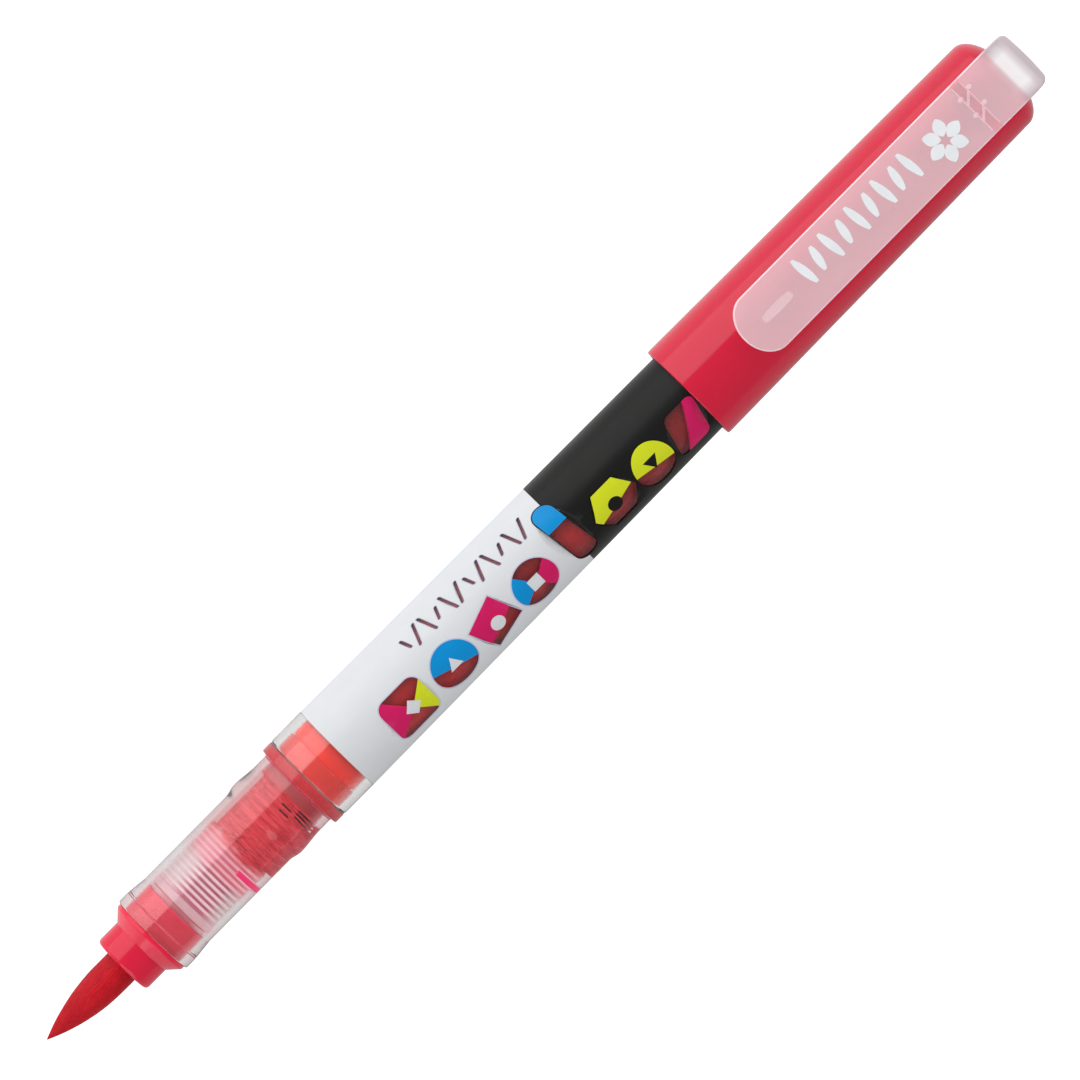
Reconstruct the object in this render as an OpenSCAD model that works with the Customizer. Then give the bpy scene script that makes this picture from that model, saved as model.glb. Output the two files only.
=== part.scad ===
// Free-ink brush pen with its cap posted on the barrel's tail.
// The pen lies along X: the brush points to -X, the cap to +X, and the clip stands on top, at +Z.
// Lengths run from the point of the brush. The origin is on the axis, midway along the barrel's collar.

/* [Brush] */
// Length of brush in front of the nib holder
brush_len = 12.3; // [9.8:0.1:15]
// Diameter of the brush at its root
brush_d = 4.4; // [3.6:0.1:5.2]
// How bluntly the brush comes to its point, where 1 is a plain cone
brush_ogive = 2.05; // [1.2:0.05:2.6]
// Length of the root inside the nib holder
root_len = 7.7; // [6.4:0.1:9]
// Diameter of the ink wick
wick_d = 2; // [1.6:0.1:2.4]

/* [Nib holder] */
// Length of the round nose
nose_len = 3.2; // [2.6:0.1:4]
// Step in radius from the nose to the shoulder
nose_step = 1.25; // [1:0.05:1.5]
// Length of the sloping shoulder
shoulder_len = 1.35; // [1:0.05:1.8]
// Length of the shoulder's rim
rim_len = 0.5; // [0.3:0.05:0.8]
// Length of the plug that enters the grip section
plug_len = 3.85; // [3.2:0.05:4.6]
// Radius of the nose's front edge
nose_edge = 0.85; // [0.3:0.05:0.85]

/* [Grip section] */
// Step in radius from the barrel down to the grip
grip_step = 0.76; // [0.6:0.02:0.92]
// Wall of the grip section
grip_wall = 0.76; // [0.62:0.02:0.92]
// Length from the front lip to the flange
grip_len = 24.15; // [22:0.05:29]
// Height of the front lip above the grip
lip_rise = 0.28; // [0:0.02:0.4]
// Height of the bead round the grip
bead_rise = 0.3; // [0:0.01:0.4]
// Length of the bead's steep front
bead_front = 0.9; // [0.6:0.1:1.2]
// Length of the bead's long slope back to the grip
bead_slope = 3.4; // [2.6:0.1:4.2]
// Distance from the bead's crest to the flange
bead_back = 5.2; // [4.6:0.1:6.2]
// Thickness of the flange against the barrel
flange_len = 1.4; // [1:0.1:1.8]
// Length of the spigot inside the barrel
spigot_len = 2.6; // [2:0.1:3.2]

/* [Collector] */
// Number of capillary fins
fin_count = 12; // [8:1:13]
// Distance from fin to fin
fin_pitch = 0.69; // [0.54:0.01:0.76]
// Thickness of a fin
fin_t = 0.3; // [0.2:0.02:0.36]
// Radius of the slim core between the fins
core_r = 1.9; // [1.6:0.05:2.3]
// Radius of the drum behind the fins
drum_r = 3.9; // [3.2:0.05:4.3]
// Length of the stem that joins the drum to the ink
stem_len = 1.5; // [1.2:0.1:2]

/* [Barrel] */
// Diameter of the barrel's collar
barrel_d = 12; // [10:0.1:15]
// Length of the barrel
barrel_len = 93.4; // [76:0.1:115]
// Wall of the barrel
barrel_wall = 1; // [0.8:0.05:1.2]
// How much the radius tapers from the collar to the tail
barrel_taper = 0.5; // [0.3:0.05:0.6]
// Length of the clear collar in front of the label
collar_len = 4.9; // [4:0.1:6]
// Thickness of the tail plug's flange
tail_flange = 1.2; // [0.8:0.1:1.6]
// Length of the tail plug's spigot
tail_spigot = 4.5; // [3.6:0.1:5.5]
// Length of barrel behind the ink, filled with air
air_len = 9; // [5:0.5:14]

/* [Label] */
// Thickness of the printed film
film_t = 0.1; // [0.06:0.02:0.14]
// Length of the white print
white_len = 36.5; // [28:0.5:44]
// Bare barrel left behind the label
bare_tail = 5; // [3:0.5:8]

/* [Cap] */
// Wall of the cap at its mouth
cap_wall = 0.6; // [0.5:0.05:0.75]
// How much the cap's outside tapers
cap_taper = 0.46; // [0.3:0.02:0.5]
// Thickness of the cap's closed end
cap_end_t = 1.3; // [1:0.1:1.6]
// Length of the cap's domed end
cap_dome = 3; // [2.6:0.1:3.4]
// Wall of the inner cap
liner_wall = 0.6; // [0.45:0.05:0.7]
// Room in front of the brush inside the inner cap
brush_room = 1.6; // [1.2:0.1:3]
// Room behind the inner cap for the clip's tongue
tongue_room = 1.6; // [1.3:0.1:2]

/* [Clip] */
// Width of the clip
clip_w = 7.7; // [6.4:0.1:9.3]
// Thickness of the clip's plate
clip_t = 1.3; // [1.05:0.05:1.6]
// Gap for a pocket between the clip and the cap
clip_gap = 1.1; // [0.9:0.05:1.4]
// Distance from the cap's mouth to the clip's free end
clip_set = 8.7; // [6:0.1:12]
// Length of the clip's rounded free end
clip_nose = 3.1; // [2:0.1:4]
// How far the clip's leg stands behind the cap's end
clip_reach = 1.9; // [1.6:0.1:2.4]
// Radius of the bend from the clip's plate to its leg
clip_bend = 2.2; // [1.7:0.1:2.6]
// Thickness of the clip's leg
leg_t = 1.1; // [0.9:0.05:1.3]
// Distance from the cap's end to the middle of the saddle
saddle_back = 6.05; // [5.2:0.05:7]
// Length of the saddle along the pen
saddle_len = 1.3; // [1:0.1:1.6]

/* [Hidden] */
$fn = 96;

// Fits: pieces pressed or glued together, and pieces that slide or turn on each other
press_fit = 0.02;
slip_fit = 0.05;
flex_fit = 0.05;

// Stations along the pen, from the point of the brush
x_nose = brush_len;
x_shoulder = x_nose + nose_len;
x_rim = x_shoulder + shoulder_len;
x_section = x_rim + rim_len;
x_plug = x_section + plug_len;
x_flange = x_section + grip_len;
x_bead = x_flange - bead_back;
x_barrel = x_flange + flange_len;
x_spigot = x_barrel + spigot_len;
x_label = x_barrel + collar_len;
x_black = x_label + white_len;
x_tail = x_barrel + barrel_len;
x_label_end = x_tail - bare_tail;
x_end = x_tail + tail_flange;
x_ink_end = x_tail - tail_spigot - air_len;
origin_x = x_barrel + collar_len / 2;

// Radii, each stepped from the barrel's
barrel_r = barrel_d / 2;
tail_r = barrel_r - barrel_taper;
bore_r = barrel_r - barrel_wall;
tail_bore_r = tail_r - barrel_wall;
grip_r = barrel_r - grip_step;
grip_bore_r = grip_r - grip_wall;
flange_r = barrel_r - 0.03;
spigot_r = bore_r - press_fit;
rim_r = grip_r - 0.04;
nose_r = rim_r - nose_step;
plug_r = grip_bore_r - press_fit;
brush_r = brush_d / 2;
wick_r = wick_d / 2;

// Brush: its tip flexes about the middle of the nose's mouth
brush_steps = 20;
mouth_r = brush_r + 0.1;
mouth_flare = 0.4;
root_end = x_nose + root_len;
wick_pocket = 1.6;
ferrule_wall = 0.7;
ferrule_floor = 0.8;
ferrule_r = brush_r + press_fit + ferrule_wall;
x_ferrule = x_nose + nose_len;
x_ferrule_end = root_end + ferrule_floor;

// Collector: a front disc, the fins, a drum soaked with ink and the stem
collector_r = grip_bore_r - slip_fit;
x_collector = max(x_plug, x_ferrule_end) + slip_fit;
disc_set = 0.75;
disc_t = 1;
disc_gap = 0.5;
x_disc = x_collector + disc_set;
fin_start = x_disc + disc_t + disc_gap;
fin_end = fin_start + fin_count * fin_pitch;
x_drum_end = x_flange - stem_len;
drum_ring = 0.3;
drum_slots = 3;
slot_pitch = 0.5;
slot_w = 0.22;
slot_depth = 0.9;
stem_r = 2.9;
wick_end = x_label + 3;

// Ink
ink_gap = 0.2;
ink_front = x_drum_end + stem_len + 0.1;

// Cap: closed on the nib its mouth meets the label and its inner cap's mouth meets the shoulder
liner_depth = x_label - x_shoulder;
post_gap = 0.5;
x_cap = x_end - liner_depth + post_gap;
x_liner = x_cap + liner_depth;
liner_end_t = 0.8;
liner_bore_r = nose_r + slip_fit;
liner_r = liner_bore_r + liner_wall;
liner_len = nose_len + brush_len + brush_room + liner_end_t;
liner_ring = 1;
x_liner_end = x_liner + liner_len;
x_cap_inside = x_liner_end + tongue_room;
x_cap_end = x_cap_inside + cap_end_t;
cap_mouth_bore = barrel_r + slip_fit;
cap_bore = tail_r + 0.06;
cap_r = cap_mouth_bore + cap_wall;
cap_slope = cap_taper / (x_cap_end - x_cap);
function cap_r_at(x) = cap_r - cap_slope * (x - x_cap);

// Clip
x_saddle = x_cap_end - saddle_back;
saddle_w = 0.88 * clip_w;
clip_low = cap_r_at(x_cap + liner_depth) + clip_gap;
clip_high = clip_low + clip_t;
clip_mid = (clip_low + clip_high) / 2;
x_clip = x_cap + clip_set;
x_hinge = x_saddle - saddle_len / 2 - clip_t;
x_clip_end = x_cap_end + clip_reach;
rib_len = 4.5;
rib_w = 1.1;
rib_set = 3.2;
rib_gap = 0.08;
rib_drop = clip_low - cap_r_at(x_clip + rib_set) - rib_gap;
rib_r = (rib_len * rib_len / 4 + rib_drop * rib_drop) / (2 * rib_drop);
tongue_w = 4.6;
tongue_t = 1.8;
tongue_barb = 0.4;
tongue_rise = 0.35;
leg_low = -1.4;
head_corner = 0.8;
hook_y = 1.25;
hook_w = 0.9;
hook_t = 0.5;
hook_barb = 0.3;
hook_low = liner_r + 0.1;
hook_roof = sqrt(pow(cap_bore, 2) - pow(hook_y + hook_w / 2, 2)) - press_fit;

// A solid turned about the pen's axis. Each point is [radius, station].
module turned(points) {
    rotate([0, 90, 0])
        rotate_extrude()
            polygon(points);
}

// A smooth rise from 0 to 1
function swell(t) = (1 - cos(180 * t)) / 2;

// A straight round bar or hole along the axis
module bar(r, x0, x1) {
    translate([x0, 0, 0])
        rotate([0, 90, 0])
            cylinder(r = r, h = x1 - x0);
}

// A block between two corners
module block(low, high) {
    translate(low)
        cube(high - low);
}

// Everything is drawn by its stations, then moved to the origin
module placed() {
    translate([-origin_x, 0, 0])
        children();
}

// Points of an arc in [radius, station], from angle a0 to a1, where 0 is outwards and 90 is backwards
function arc(r0, x0, r, a0, a1, steps = 6) =
    [for (i = [0:steps]) let (a = a0 + (a1 - a0) * i / steps) [r0 + r * cos(a), x0 + r * sin(a)]];

// Flexible front of the brush: a pointed ogive with a round heel that turns in the root's hollow
module brush_tip() {
    color([0.72, 0.1, 0.14])
        placed()
            turned(concat(
                [for (i = [0:brush_steps]) let (t = i / brush_steps)
                    [brush_r * (1 - pow(1 - t, brush_ogive)), x_nose * t]],
                arc(0, x_nose, brush_r, 10, 90, 8)
            ));
}

// Straight root of the same fibres, held in the ferrule and hollowed for the heel and the wick
module brush_root() {
    color([0.62, 0.09, 0.12])
        placed()
            difference() {
                bar(brush_r, x_nose, root_end);
                translate([x_nose, 0, 0])
                    sphere(r = brush_r + flex_fit);
                bar(wick_r + press_fit, root_end - wick_pocket, root_end + 1);
            }
}

// Thin cup that grips the root and lets the wick through its floor
module brush_ferrule() {
    color([0.85, 0.82, 0.82])
        placed()
            difference() {
                bar(ferrule_r, x_ferrule, x_ferrule_end);
                bar(brush_r + press_fit, x_ferrule - 1, root_end);
                bar(wick_r + press_fit, root_end - 1, x_ferrule_end + 1);
            }
}

// Red nose: mouth for the brush, sealing cylinder, sloping shoulder and the plug into the grip
module nib_holder() {
    color([0.9, 0.12, 0.2])
        placed()
            turned(concat(
                [[mouth_r + mouth_flare, x_nose]],
                arc(nose_r - nose_edge, x_nose + nose_edge, nose_edge, -90, 0),
                [[nose_r, x_shoulder], [rim_r, x_rim], [rim_r, x_section], [plug_r, x_section],
                    [plug_r, x_plug], [ferrule_r + press_fit, x_plug],
                    [ferrule_r + press_fit, x_ferrule], [mouth_r, x_ferrule],
                    [mouth_r, x_nose + mouth_flare]]
            ));
}

// Fibre rod that carries ink from the barrel to the brush's root
module ink_wick() {
    color([0.8, 0.2, 0.25])
        placed()
            bar(wick_r, root_end - wick_pocket + slip_fit, wick_end);
}

// Capillary collector: front disc, fins on a slim core, soaked drum with slots, rear ring and stem
module collector() {
    color([0.93, 0.75, 0.78])
        placed()
            difference() {
                union() {
                    bar(core_r, x_collector, fin_end);
                    bar(collector_r, x_disc, x_disc + disc_t);
                    for (i = [0:fin_count - 1])
                        bar(collector_r, fin_start + i * fin_pitch, fin_start + i * fin_pitch + fin_t);
                    bar(drum_r, fin_end, x_drum_end);
                    bar(collector_r, x_drum_end - drum_ring, x_drum_end);
                    bar(stem_r, fin_end, x_drum_end + stem_len);
                }
                for (i = [1:drum_slots])
                    drum_slot(x_drum_end - drum_ring - i * slot_pitch);
                bar(wick_r + slip_fit, x_collector - 1, wick_end);
            }
}

// A groove cut round the drum
module drum_slot(x) {
    difference() {
        bar(drum_r + 1, x, x + slot_w);
        bar(drum_r - slot_depth, x - 1, x + slot_w + 1);
    }
}

// Clear grip: flared lip, straight grip, low bead, flange and the spigot in the barrel
module grip_section() {
    edge = 0.18;
    lip_r = grip_r + lip_rise;
    lip_end = x_section + 1.6;
    lip_slope = 2.4;
    neck_rise = 0.05;
    neck_r = grip_r + neck_rise;
    color([0.9, 0.9, 0.92, 0.5])
        placed()
            turned(concat(
                [[grip_bore_r, x_section]],
                arc(lip_r - edge, x_section + edge, edge, -90, 0),
                [[lip_r, lip_end], [grip_r, lip_end + lip_slope]],
                [for (i = [0:4]) let (t = i / 4)
                    [grip_r + bead_rise * swell(t), x_bead - bead_front * (1 - t)]],
                [for (i = [1:6]) let (t = i / 6)
                    [neck_r + (bead_rise - neck_rise) * swell(1 - t), x_bead + bead_slope * t]],
                [[neck_r, x_flange]],
                arc(flange_r - edge, x_flange + edge, edge, -90, 0),
                [[flange_r, x_barrel], [spigot_r, x_barrel], [spigot_r, x_spigot], [grip_bore_r, x_spigot]]
            ));
}

// Clear barrel: straight collar, then a tapered body set back for the film
module barrel() {
    bore_end = x_spigot + 0.4;
    tail_bore = x_tail - tail_spigot - 0.5;
    step = 0.15;
    film_seat = film_t + press_fit;
    color([0.85, 0.87, 0.9, 0.5])
        placed()
            turned([[bore_r, x_barrel], [barrel_r - step, x_barrel], [barrel_r, x_barrel + step],
                [barrel_r, x_label], [barrel_r - film_seat, x_label],
                [barrel_r_at(x_label_end) - film_seat, x_label_end], [barrel_r_at(x_label_end), x_label_end],
                [tail_r, x_tail], [tail_bore_r, x_tail], [tail_bore_r, tail_bore], [bore_r, bore_end]]);
}

// Outside radius of the barrel, film and all
function barrel_r_at(x) = barrel_r - barrel_taper * (x - x_label) / (x_tail - x_label);

// Inside radius of the barrel behind the spigot
function bore_r_at(x) = bore_r - barrel_taper * (x - x_spigot) / (x_tail - x_spigot);

// One length of the label's film, all of one colour
module film(x0, x1) {
    placed()
        turned([[barrel_r_at(x0) - film_t, x0], [barrel_r_at(x0), x0],
            [barrel_r_at(x1), x1], [barrel_r_at(x1) - film_t, x1]]);
}

// Printed film round the barrel: white in front, black behind
module label_film() {
    color([0.93, 0.94, 0.95])
        film(x_label + press_fit, x_black);
    color([0.12, 0.12, 0.12])
        film(x_black, x_label_end - press_fit);
}

// Liquid ink: a neck inside the spigot, then the column in the barrel, round the wick's end
module ink_charge() {
    neck_end = x_spigot + ink_gap / 2;
    neck_r = grip_bore_r - ink_gap / 2;
    color([0.85, 0.12, 0.12])
        placed()
            difference() {
                turned([[0, ink_front], [neck_r, ink_front], [neck_r, neck_end],
                    [bore_r_at(neck_end) - ink_gap, neck_end],
                    [bore_r_at(x_ink_end) - ink_gap, x_ink_end], [0, x_ink_end]]);
                bar(wick_r + press_fit, ink_front - 1, wick_end + press_fit);
            }
}

// Plug that closes the barrel's tail
module tail_plug() {
    edge = 0.3;
    spigot_wall = 0.8;
    outer = tail_bore_r - press_fit;
    inner = outer - spigot_wall;
    seat = x_tail + press_fit;
    color([0.14, 0.14, 0.14])
        placed()
            turned([[0, seat], [inner, seat], [inner, x_tail - tail_spigot], [outer, x_tail - tail_spigot],
                [outer, seat], [tail_r, seat], [tail_r, x_end - edge], [tail_r - edge, x_end], [0, x_end]]);
}

// Inner cap that seals on the nose, with two rings that seat in the outer cap
module inner_cap() {
    ring_r = cap_bore - slip_fit;
    lead = 0.3;
    color([0.9, 0.88, 0.88])
        placed()
            turned([[liner_bore_r + lead, x_liner], [ring_r - 0.15, x_liner], [ring_r, x_liner + 0.15],
                [ring_r, x_liner + liner_ring], [liner_r, x_liner + liner_ring],
                [liner_r, x_liner_end - liner_ring], [ring_r, x_liner_end - liner_ring],
                [ring_r, x_liner_end - slip_fit], [0, x_liner_end - slip_fit],
                [0, x_liner_end - liner_end_t], [liner_bore_r - 1, x_liner_end - liner_end_t],
                [liner_bore_r, x_liner_end - liner_end_t - 1], [liner_bore_r, x_liner + lead]]);
}

// Outer cap: tapered shell with a domed end, the saddle under the clip and the slots for its snaps
module outer_cap() {
    lip = 0.25;
    dome_x = x_cap_end - cap_dome;
    dome_r = cap_r_at(dome_x);
    color([0.88, 0.13, 0.2])
        placed()
            difference() {
                union() {
                    turned(concat(
                        [[cap_mouth_bore + lip / 2, x_cap]],
                        arc(cap_r - lip, x_cap + lip, lip, -90, 0, 4),
                        [for (a = [0:7.5:90]) [dome_r * cos(a), dome_x + cap_dome * sin(a)]],
                        [[0, x_cap_inside], [cap_bore - 1.5, x_cap_inside],
                            [cap_bore, x_liner_end], [cap_bore, x_liner - post_gap],
                            [cap_mouth_bore, x_cap + lip]]
                    ));
                    saddle();
                }
                tongue_slot();
                for (side = [-1, 1])
                    hook_slot(side * hook_y);
            }
}

// Slot through the cap's end for the clip's tongue
module tongue_slot() {
    half = tongue_w / 2 + slip_fit;
    high = tongue_t / 2 + slip_fit;
    block([x_cap_inside - 1, -half, -high], [x_cap_end + 1, half, high]);
}

// Slot through the saddle and the cap's wall for one of the clip's hooks
module hook_slot(y) {
    half_w = hook_w / 2 + slip_fit;
    half_t = hook_t / 2 + slip_fit;
    block([x_saddle - half_t, y - half_w, liner_r], [x_saddle + half_t, y + half_w, clip_high]);
}

// Cross rib on the cap that carries the clip's root
module saddle() {
    difference() {
        block([x_saddle - saddle_len / 2, -saddle_w / 2, 0],
            [x_saddle + saddle_len / 2, saddle_w / 2, clip_low - press_fit]);
        bar(cap_r_at(x_saddle) - 0.3, x_saddle - saddle_len, x_saddle + saddle_len);
    }
}

// Outline of the clip's free plate from above, with its round end at x0
module arm_outline(x0, x1) {
    half = clip_w / 2;
    polygon(concat(
        [for (a = [90:7.5:270]) [x0 + clip_nose * (1 + cos(a)), half * sin(a)]],
        [[x1, -half], [x1, half]]
    ));
}

// Outline of the clip's root from above, with its outer corners rounded
module head_outline(x0, x1) {
    half = clip_w / 2;
    c = head_corner;
    polygon(concat(
        [[x0, half], [x0, -half]],
        [for (a = [-90:15:0]) [x1 - c + c * cos(a), c - half + c * sin(a)]],
        [for (a = [0:15:90]) [x1 - c + c * cos(a), half - c + c * sin(a)]]
    ));
}

// Round bar across the pen, along Y and centred on it
module cross_bar(x, z, r, w) {
    translate([x, w / 2, z])
        rotate([90, 0, 0])
            cylinder(r = r, h = w);
}

// Free length of the clip, its knuckle at the flexing root and the rib that presses on a pocket
module clip_arm() {
    rib_x = x_clip + rib_set + rib_len / 2;
    rib_low = clip_low - rib_drop;
    color([0.95, 0.85, 0.87, 0.6])
        placed()
            union() {
                translate([0, 0, clip_low])
                    linear_extrude(clip_t)
                        arm_outline(x_clip, x_hinge);
                cross_bar(x_hinge, clip_mid, clip_t / 2, clip_w);
                intersection() {
                    cross_bar(rib_x, rib_low + rib_r, rib_r, rib_w);
                    block([rib_x - rib_len / 2, -rib_w, rib_low - 1],
                        [rib_x + rib_len / 2, rib_w, clip_mid]);
                }
            }
}

// Fixed root of the clip: plate over the saddle, rounded leg, tongue into the cap's end and two hooks
module clip_head() {
    half_tongue = tongue_w / 2;
    barb_x = x_cap_inside - slip_fit;
    tongue_z = tongue_t / 2;
    color([0.95, 0.85, 0.87, 0.6])
        placed()
            union() {
                difference() {
                    translate([0, 0, leg_low])
                        linear_extrude(clip_high - leg_low)
                            head_outline(x_hinge, x_clip_end);
                    head_space();
                    cross_bar(x_hinge, clip_mid, clip_t / 2 + flex_fit, clip_w + 2);
                }
                block([barb_x, -half_tongue, -tongue_z], [x_clip_end - leg_t / 2, half_tongue, tongue_z]);
                block([barb_x - tongue_barb, -half_tongue, -tongue_z - tongue_rise],
                    [barb_x, half_tongue, tongue_z + tongue_rise]);
                for (side = [-1, 1])
                    clip_hook(side * hook_y);
            }
}

// What is cut from a solid block to leave the clip's plate, its bend and its leg
module head_space() {
    bend_x = x_clip_end - clip_bend;
    bend_z = clip_high - clip_bend;
    wide = clip_w + 2;
    inside = clip_bend - leg_t;
    // Under the plate and in front of the leg
    block([x_hinge - 1, -wide / 2, leg_low - 1], [bend_x, wide / 2, clip_low]);
    block([bend_x - 1, -wide / 2, leg_low - 1], [x_clip_end - leg_t, wide / 2, bend_z]);
    cross_bar(bend_x, bend_z, inside, wide);
    // Outside the bend
    difference() {
        block([bend_x, -wide / 2, bend_z], [x_clip_end + 1, wide / 2, clip_high + 1]);
        cross_bar(bend_x, bend_z, clip_bend, wide + 2);
    }
}

// Snap hook through the saddle and the cap's wall
module clip_hook(y) {
    x0 = x_saddle - hook_t / 2;
    x1 = x_saddle + hook_t / 2;
    block([x0, y - hook_w / 2, hook_low], [x1, y + hook_w / 2, clip_mid]);
    block([x0, y - hook_w / 2, hook_low], [x1 + hook_barb, y + hook_w / 2, hook_roof]);
}

brush_tip();
brush_root();
brush_ferrule();
nib_holder();
ink_wick();
collector();
grip_section();
barrel();
ink_charge();
tail_plug();
label_film();
inner_cap();
outer_cap();
clip_arm();
clip_head();
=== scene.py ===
import math

import bmesh
import bpy
from mathutils import Matrix, Vector, geometry, noise


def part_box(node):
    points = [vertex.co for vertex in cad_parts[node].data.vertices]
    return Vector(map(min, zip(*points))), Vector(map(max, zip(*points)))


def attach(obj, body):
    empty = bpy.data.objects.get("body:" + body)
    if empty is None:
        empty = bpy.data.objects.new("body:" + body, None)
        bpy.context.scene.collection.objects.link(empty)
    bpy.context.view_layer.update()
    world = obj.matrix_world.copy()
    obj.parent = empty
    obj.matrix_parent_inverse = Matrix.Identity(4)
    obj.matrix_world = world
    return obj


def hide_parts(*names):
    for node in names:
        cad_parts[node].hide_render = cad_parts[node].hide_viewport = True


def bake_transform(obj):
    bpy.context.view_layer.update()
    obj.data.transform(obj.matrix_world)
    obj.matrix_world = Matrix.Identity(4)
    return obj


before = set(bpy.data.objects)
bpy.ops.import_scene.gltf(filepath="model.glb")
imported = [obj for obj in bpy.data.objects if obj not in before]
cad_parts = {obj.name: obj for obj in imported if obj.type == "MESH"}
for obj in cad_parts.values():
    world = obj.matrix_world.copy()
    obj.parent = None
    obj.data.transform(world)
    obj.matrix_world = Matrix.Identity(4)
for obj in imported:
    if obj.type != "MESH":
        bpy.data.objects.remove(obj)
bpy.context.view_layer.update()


# --- Camera -------------------------------------------------------------------------------
# A long lens looks down on the pen lying flat. The pen runs from the lower left to the upper
# right of the picture, and the camera leans a little to the far side of it.

camera_distance = 1.1
camera_lean = math.radians(2.8)
camera_roll = math.radians(45.35)
view_width = 0.12528
sensor_width = 36
look_at = Vector((0.03615, 0.00021, 0.0))

camera = bpy.data.objects.new("camera", bpy.data.cameras.new("camera"))
bpy.context.scene.collection.objects.link(camera)
bpy.context.scene.camera = camera
along = Vector((1, 0, 0))
across = Vector((0, math.cos(camera_lean), -math.sin(camera_lean)))
back = Vector((0, math.sin(camera_lean), math.cos(camera_lean)))
right = along * math.cos(camera_roll) - across * math.sin(camera_roll)
up = along * math.sin(camera_roll) + across * math.cos(camera_roll)
camera.matrix_world = (Matrix.Translation(look_at + back * camera_distance)
                       @ Matrix((right, up, back)).transposed().to_4x4())
camera.data.sensor_width = sensor_width
camera.data.lens = sensor_width * camera_distance / view_width


# --- Table and studio light ------------------------------------------------------------------
# A plain white table, lit evenly, with the pen lying on it, and brighter on the far side. Tall soft
# boxes stand along the far side and beyond the pen's two ends, and the rest of the room is a dim
# pale tent.

MM = 0.001
TABLE_SIZE = 4.0
TABLE_COLOUR = (0.38, 0.38, 0.38, 1)
GLOW_NEAR, GLOW_FAR, GLOW_BAND = 0.14, 0.50, 0.012
GLOW_THROUGH, GLOW_SEEN = 0.41, 1.0
ROOM_GLOW = 0.34
ROOM_WHITE = (1.0, 1.0, 1.0, 1)


def paint(red, green, blue, alpha=1.0):
    """A colour in the eight-bit steps of a paint chart, as the linear values that a shader takes."""
    def linear(step):
        share = step / 255
        return share / 12.92 if share <= 0.04045 else ((share + 0.055) / 1.055) ** 2.4
    return linear(red), linear(green), linear(blue), alpha


def add(tree, kind, inputs=None, **settings):
    """A shader node with its settings and inputs. An input is a plain value or another node's socket."""
    node = tree.nodes.new("ShaderNode" + kind)
    for key, value in settings.items():
        setattr(node, key, value)
    for key, value in (inputs or {}).items():
        if isinstance(value, bpy.types.NodeSocket):
            tree.links.new(value, node.inputs[key])
        else:
            node.inputs[key].default_value = value
    return node


def ramp(tree, value, low, high, start=0.0, end=1.0):
    """A value carried from low..high to start..end, and held at its ends."""
    return add(tree, "MapRange", {"Value": value, "From Min": low, "From Max": high,
                                  "To Min": start, "To Max": end}).outputs[0]


def place_of(tree):
    """The surface's own coordinates, in metres, as three separate values."""
    return add(tree, "SeparateXYZ", {0: add(tree, "TexCoord").outputs["Object"]}).outputs


def new_material(name, **values):
    """A material with one Principled shader, whose plain values are given by their sockets' names."""
    material = bpy.data.materials.new(name)
    material.use_nodes = True
    tree = material.node_tree
    tree.nodes.clear()
    shader = add(tree, "BsdfPrincipled", {k.replace("_", " "): v for k, v in values.items()})
    add(tree, "OutputMaterial", {"Surface": shader.outputs[0]})
    return tree, shader, material


def new_object(name, mesh):
    piece = bpy.data.objects.new(name, mesh)
    bpy.context.scene.collection.objects.link(piece)
    return piece


table_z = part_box("outer_cap")[0].z
corner = TABLE_SIZE / 2
table_mesh = bpy.data.meshes.new("table")
table_mesh.from_pydata([(-corner, -corner, table_z), (corner, -corner, table_z),
                        (corner, corner, table_z), (-corner, corner, table_z)], [], [(0, 1, 2, 3)])
table = new_object("table", table_mesh)
table_tree, table_shader, table_material = new_material("table_white", Base_Color=TABLE_COLOUR, Roughness=0.9,
                                                        Emission_Color=ROOM_WHITE)
table_rays = add(table_tree, "LightPath").outputs
glow = ramp(table_tree, place_of(table_tree)[1], -GLOW_BAND, GLOW_BAND, GLOW_NEAR, GLOW_FAR)
for kind_of_ray, level in (("Is Transmission Ray", GLOW_THROUGH), ("Is Camera Ray", GLOW_SEEN)):
    glow = ramp(table_tree, table_rays[kind_of_ray], 0.0, 1.0, glow, level)
table_tree.links.new(glow, table_shader.inputs["Emission Strength"])
table_mesh.materials.append(table_material)

world = bpy.data.worlds.new("tent")
bpy.context.scene.world = world
world.use_nodes = True
tent = world.node_tree
tent.nodes.clear()
seen = add(tent, "LightPath").outputs["Is Camera Ray"]
dim = add(tent, "Background", {"Color": ROOM_WHITE, "Strength": ROOM_GLOW}).outputs[0]
bright = add(tent, "Background", {"Color": ROOM_WHITE, "Strength": 1.0}).outputs[0]
tent_mix = add(tent, "MixShader", {0: seen, 1: dim, 2: bright})
add(tent, "OutputWorld", {"Surface": tent_mix.outputs[0]})


# Each soft box has its place, width, height and radiance, and faces the middle of the pen.
for lamp_name, lamp_place, lamp_width, lamp_height, radiance in (
        ("far_wall", (0.0, 0.70, 0.47), 1.6, 1.1, 1.4), ("tail_side", (0.95, -0.40, 0.56), 1.2, 1.1, 1.2),
        ("brush_side", (-0.95, -0.40, 0.56), 1.2, 1.1, 1.2)):
    lamp = bpy.data.lights.new(lamp_name, "AREA")
    lamp.shape = "RECTANGLE"
    lamp.size, lamp.size_y = lamp_width, lamp_height
    lamp.energy = radiance * math.pi * lamp_width * lamp_height
    holder = new_object(lamp_name, lamp)
    holder.location = lamp_place
    holder.rotation_euler = Vector(lamp_place).to_track_quat("Z", "Y").to_euler()
bpy.context.scene.view_settings.view_transform = "Standard"


# --- Brush -----------------------------------------------------------------------------------
# One bundle of fine synthetic fibres, ground to a point and soaked with ink. Its root is held in the nib holder and
# its front bends; it is one skin from its root to its point.

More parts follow.
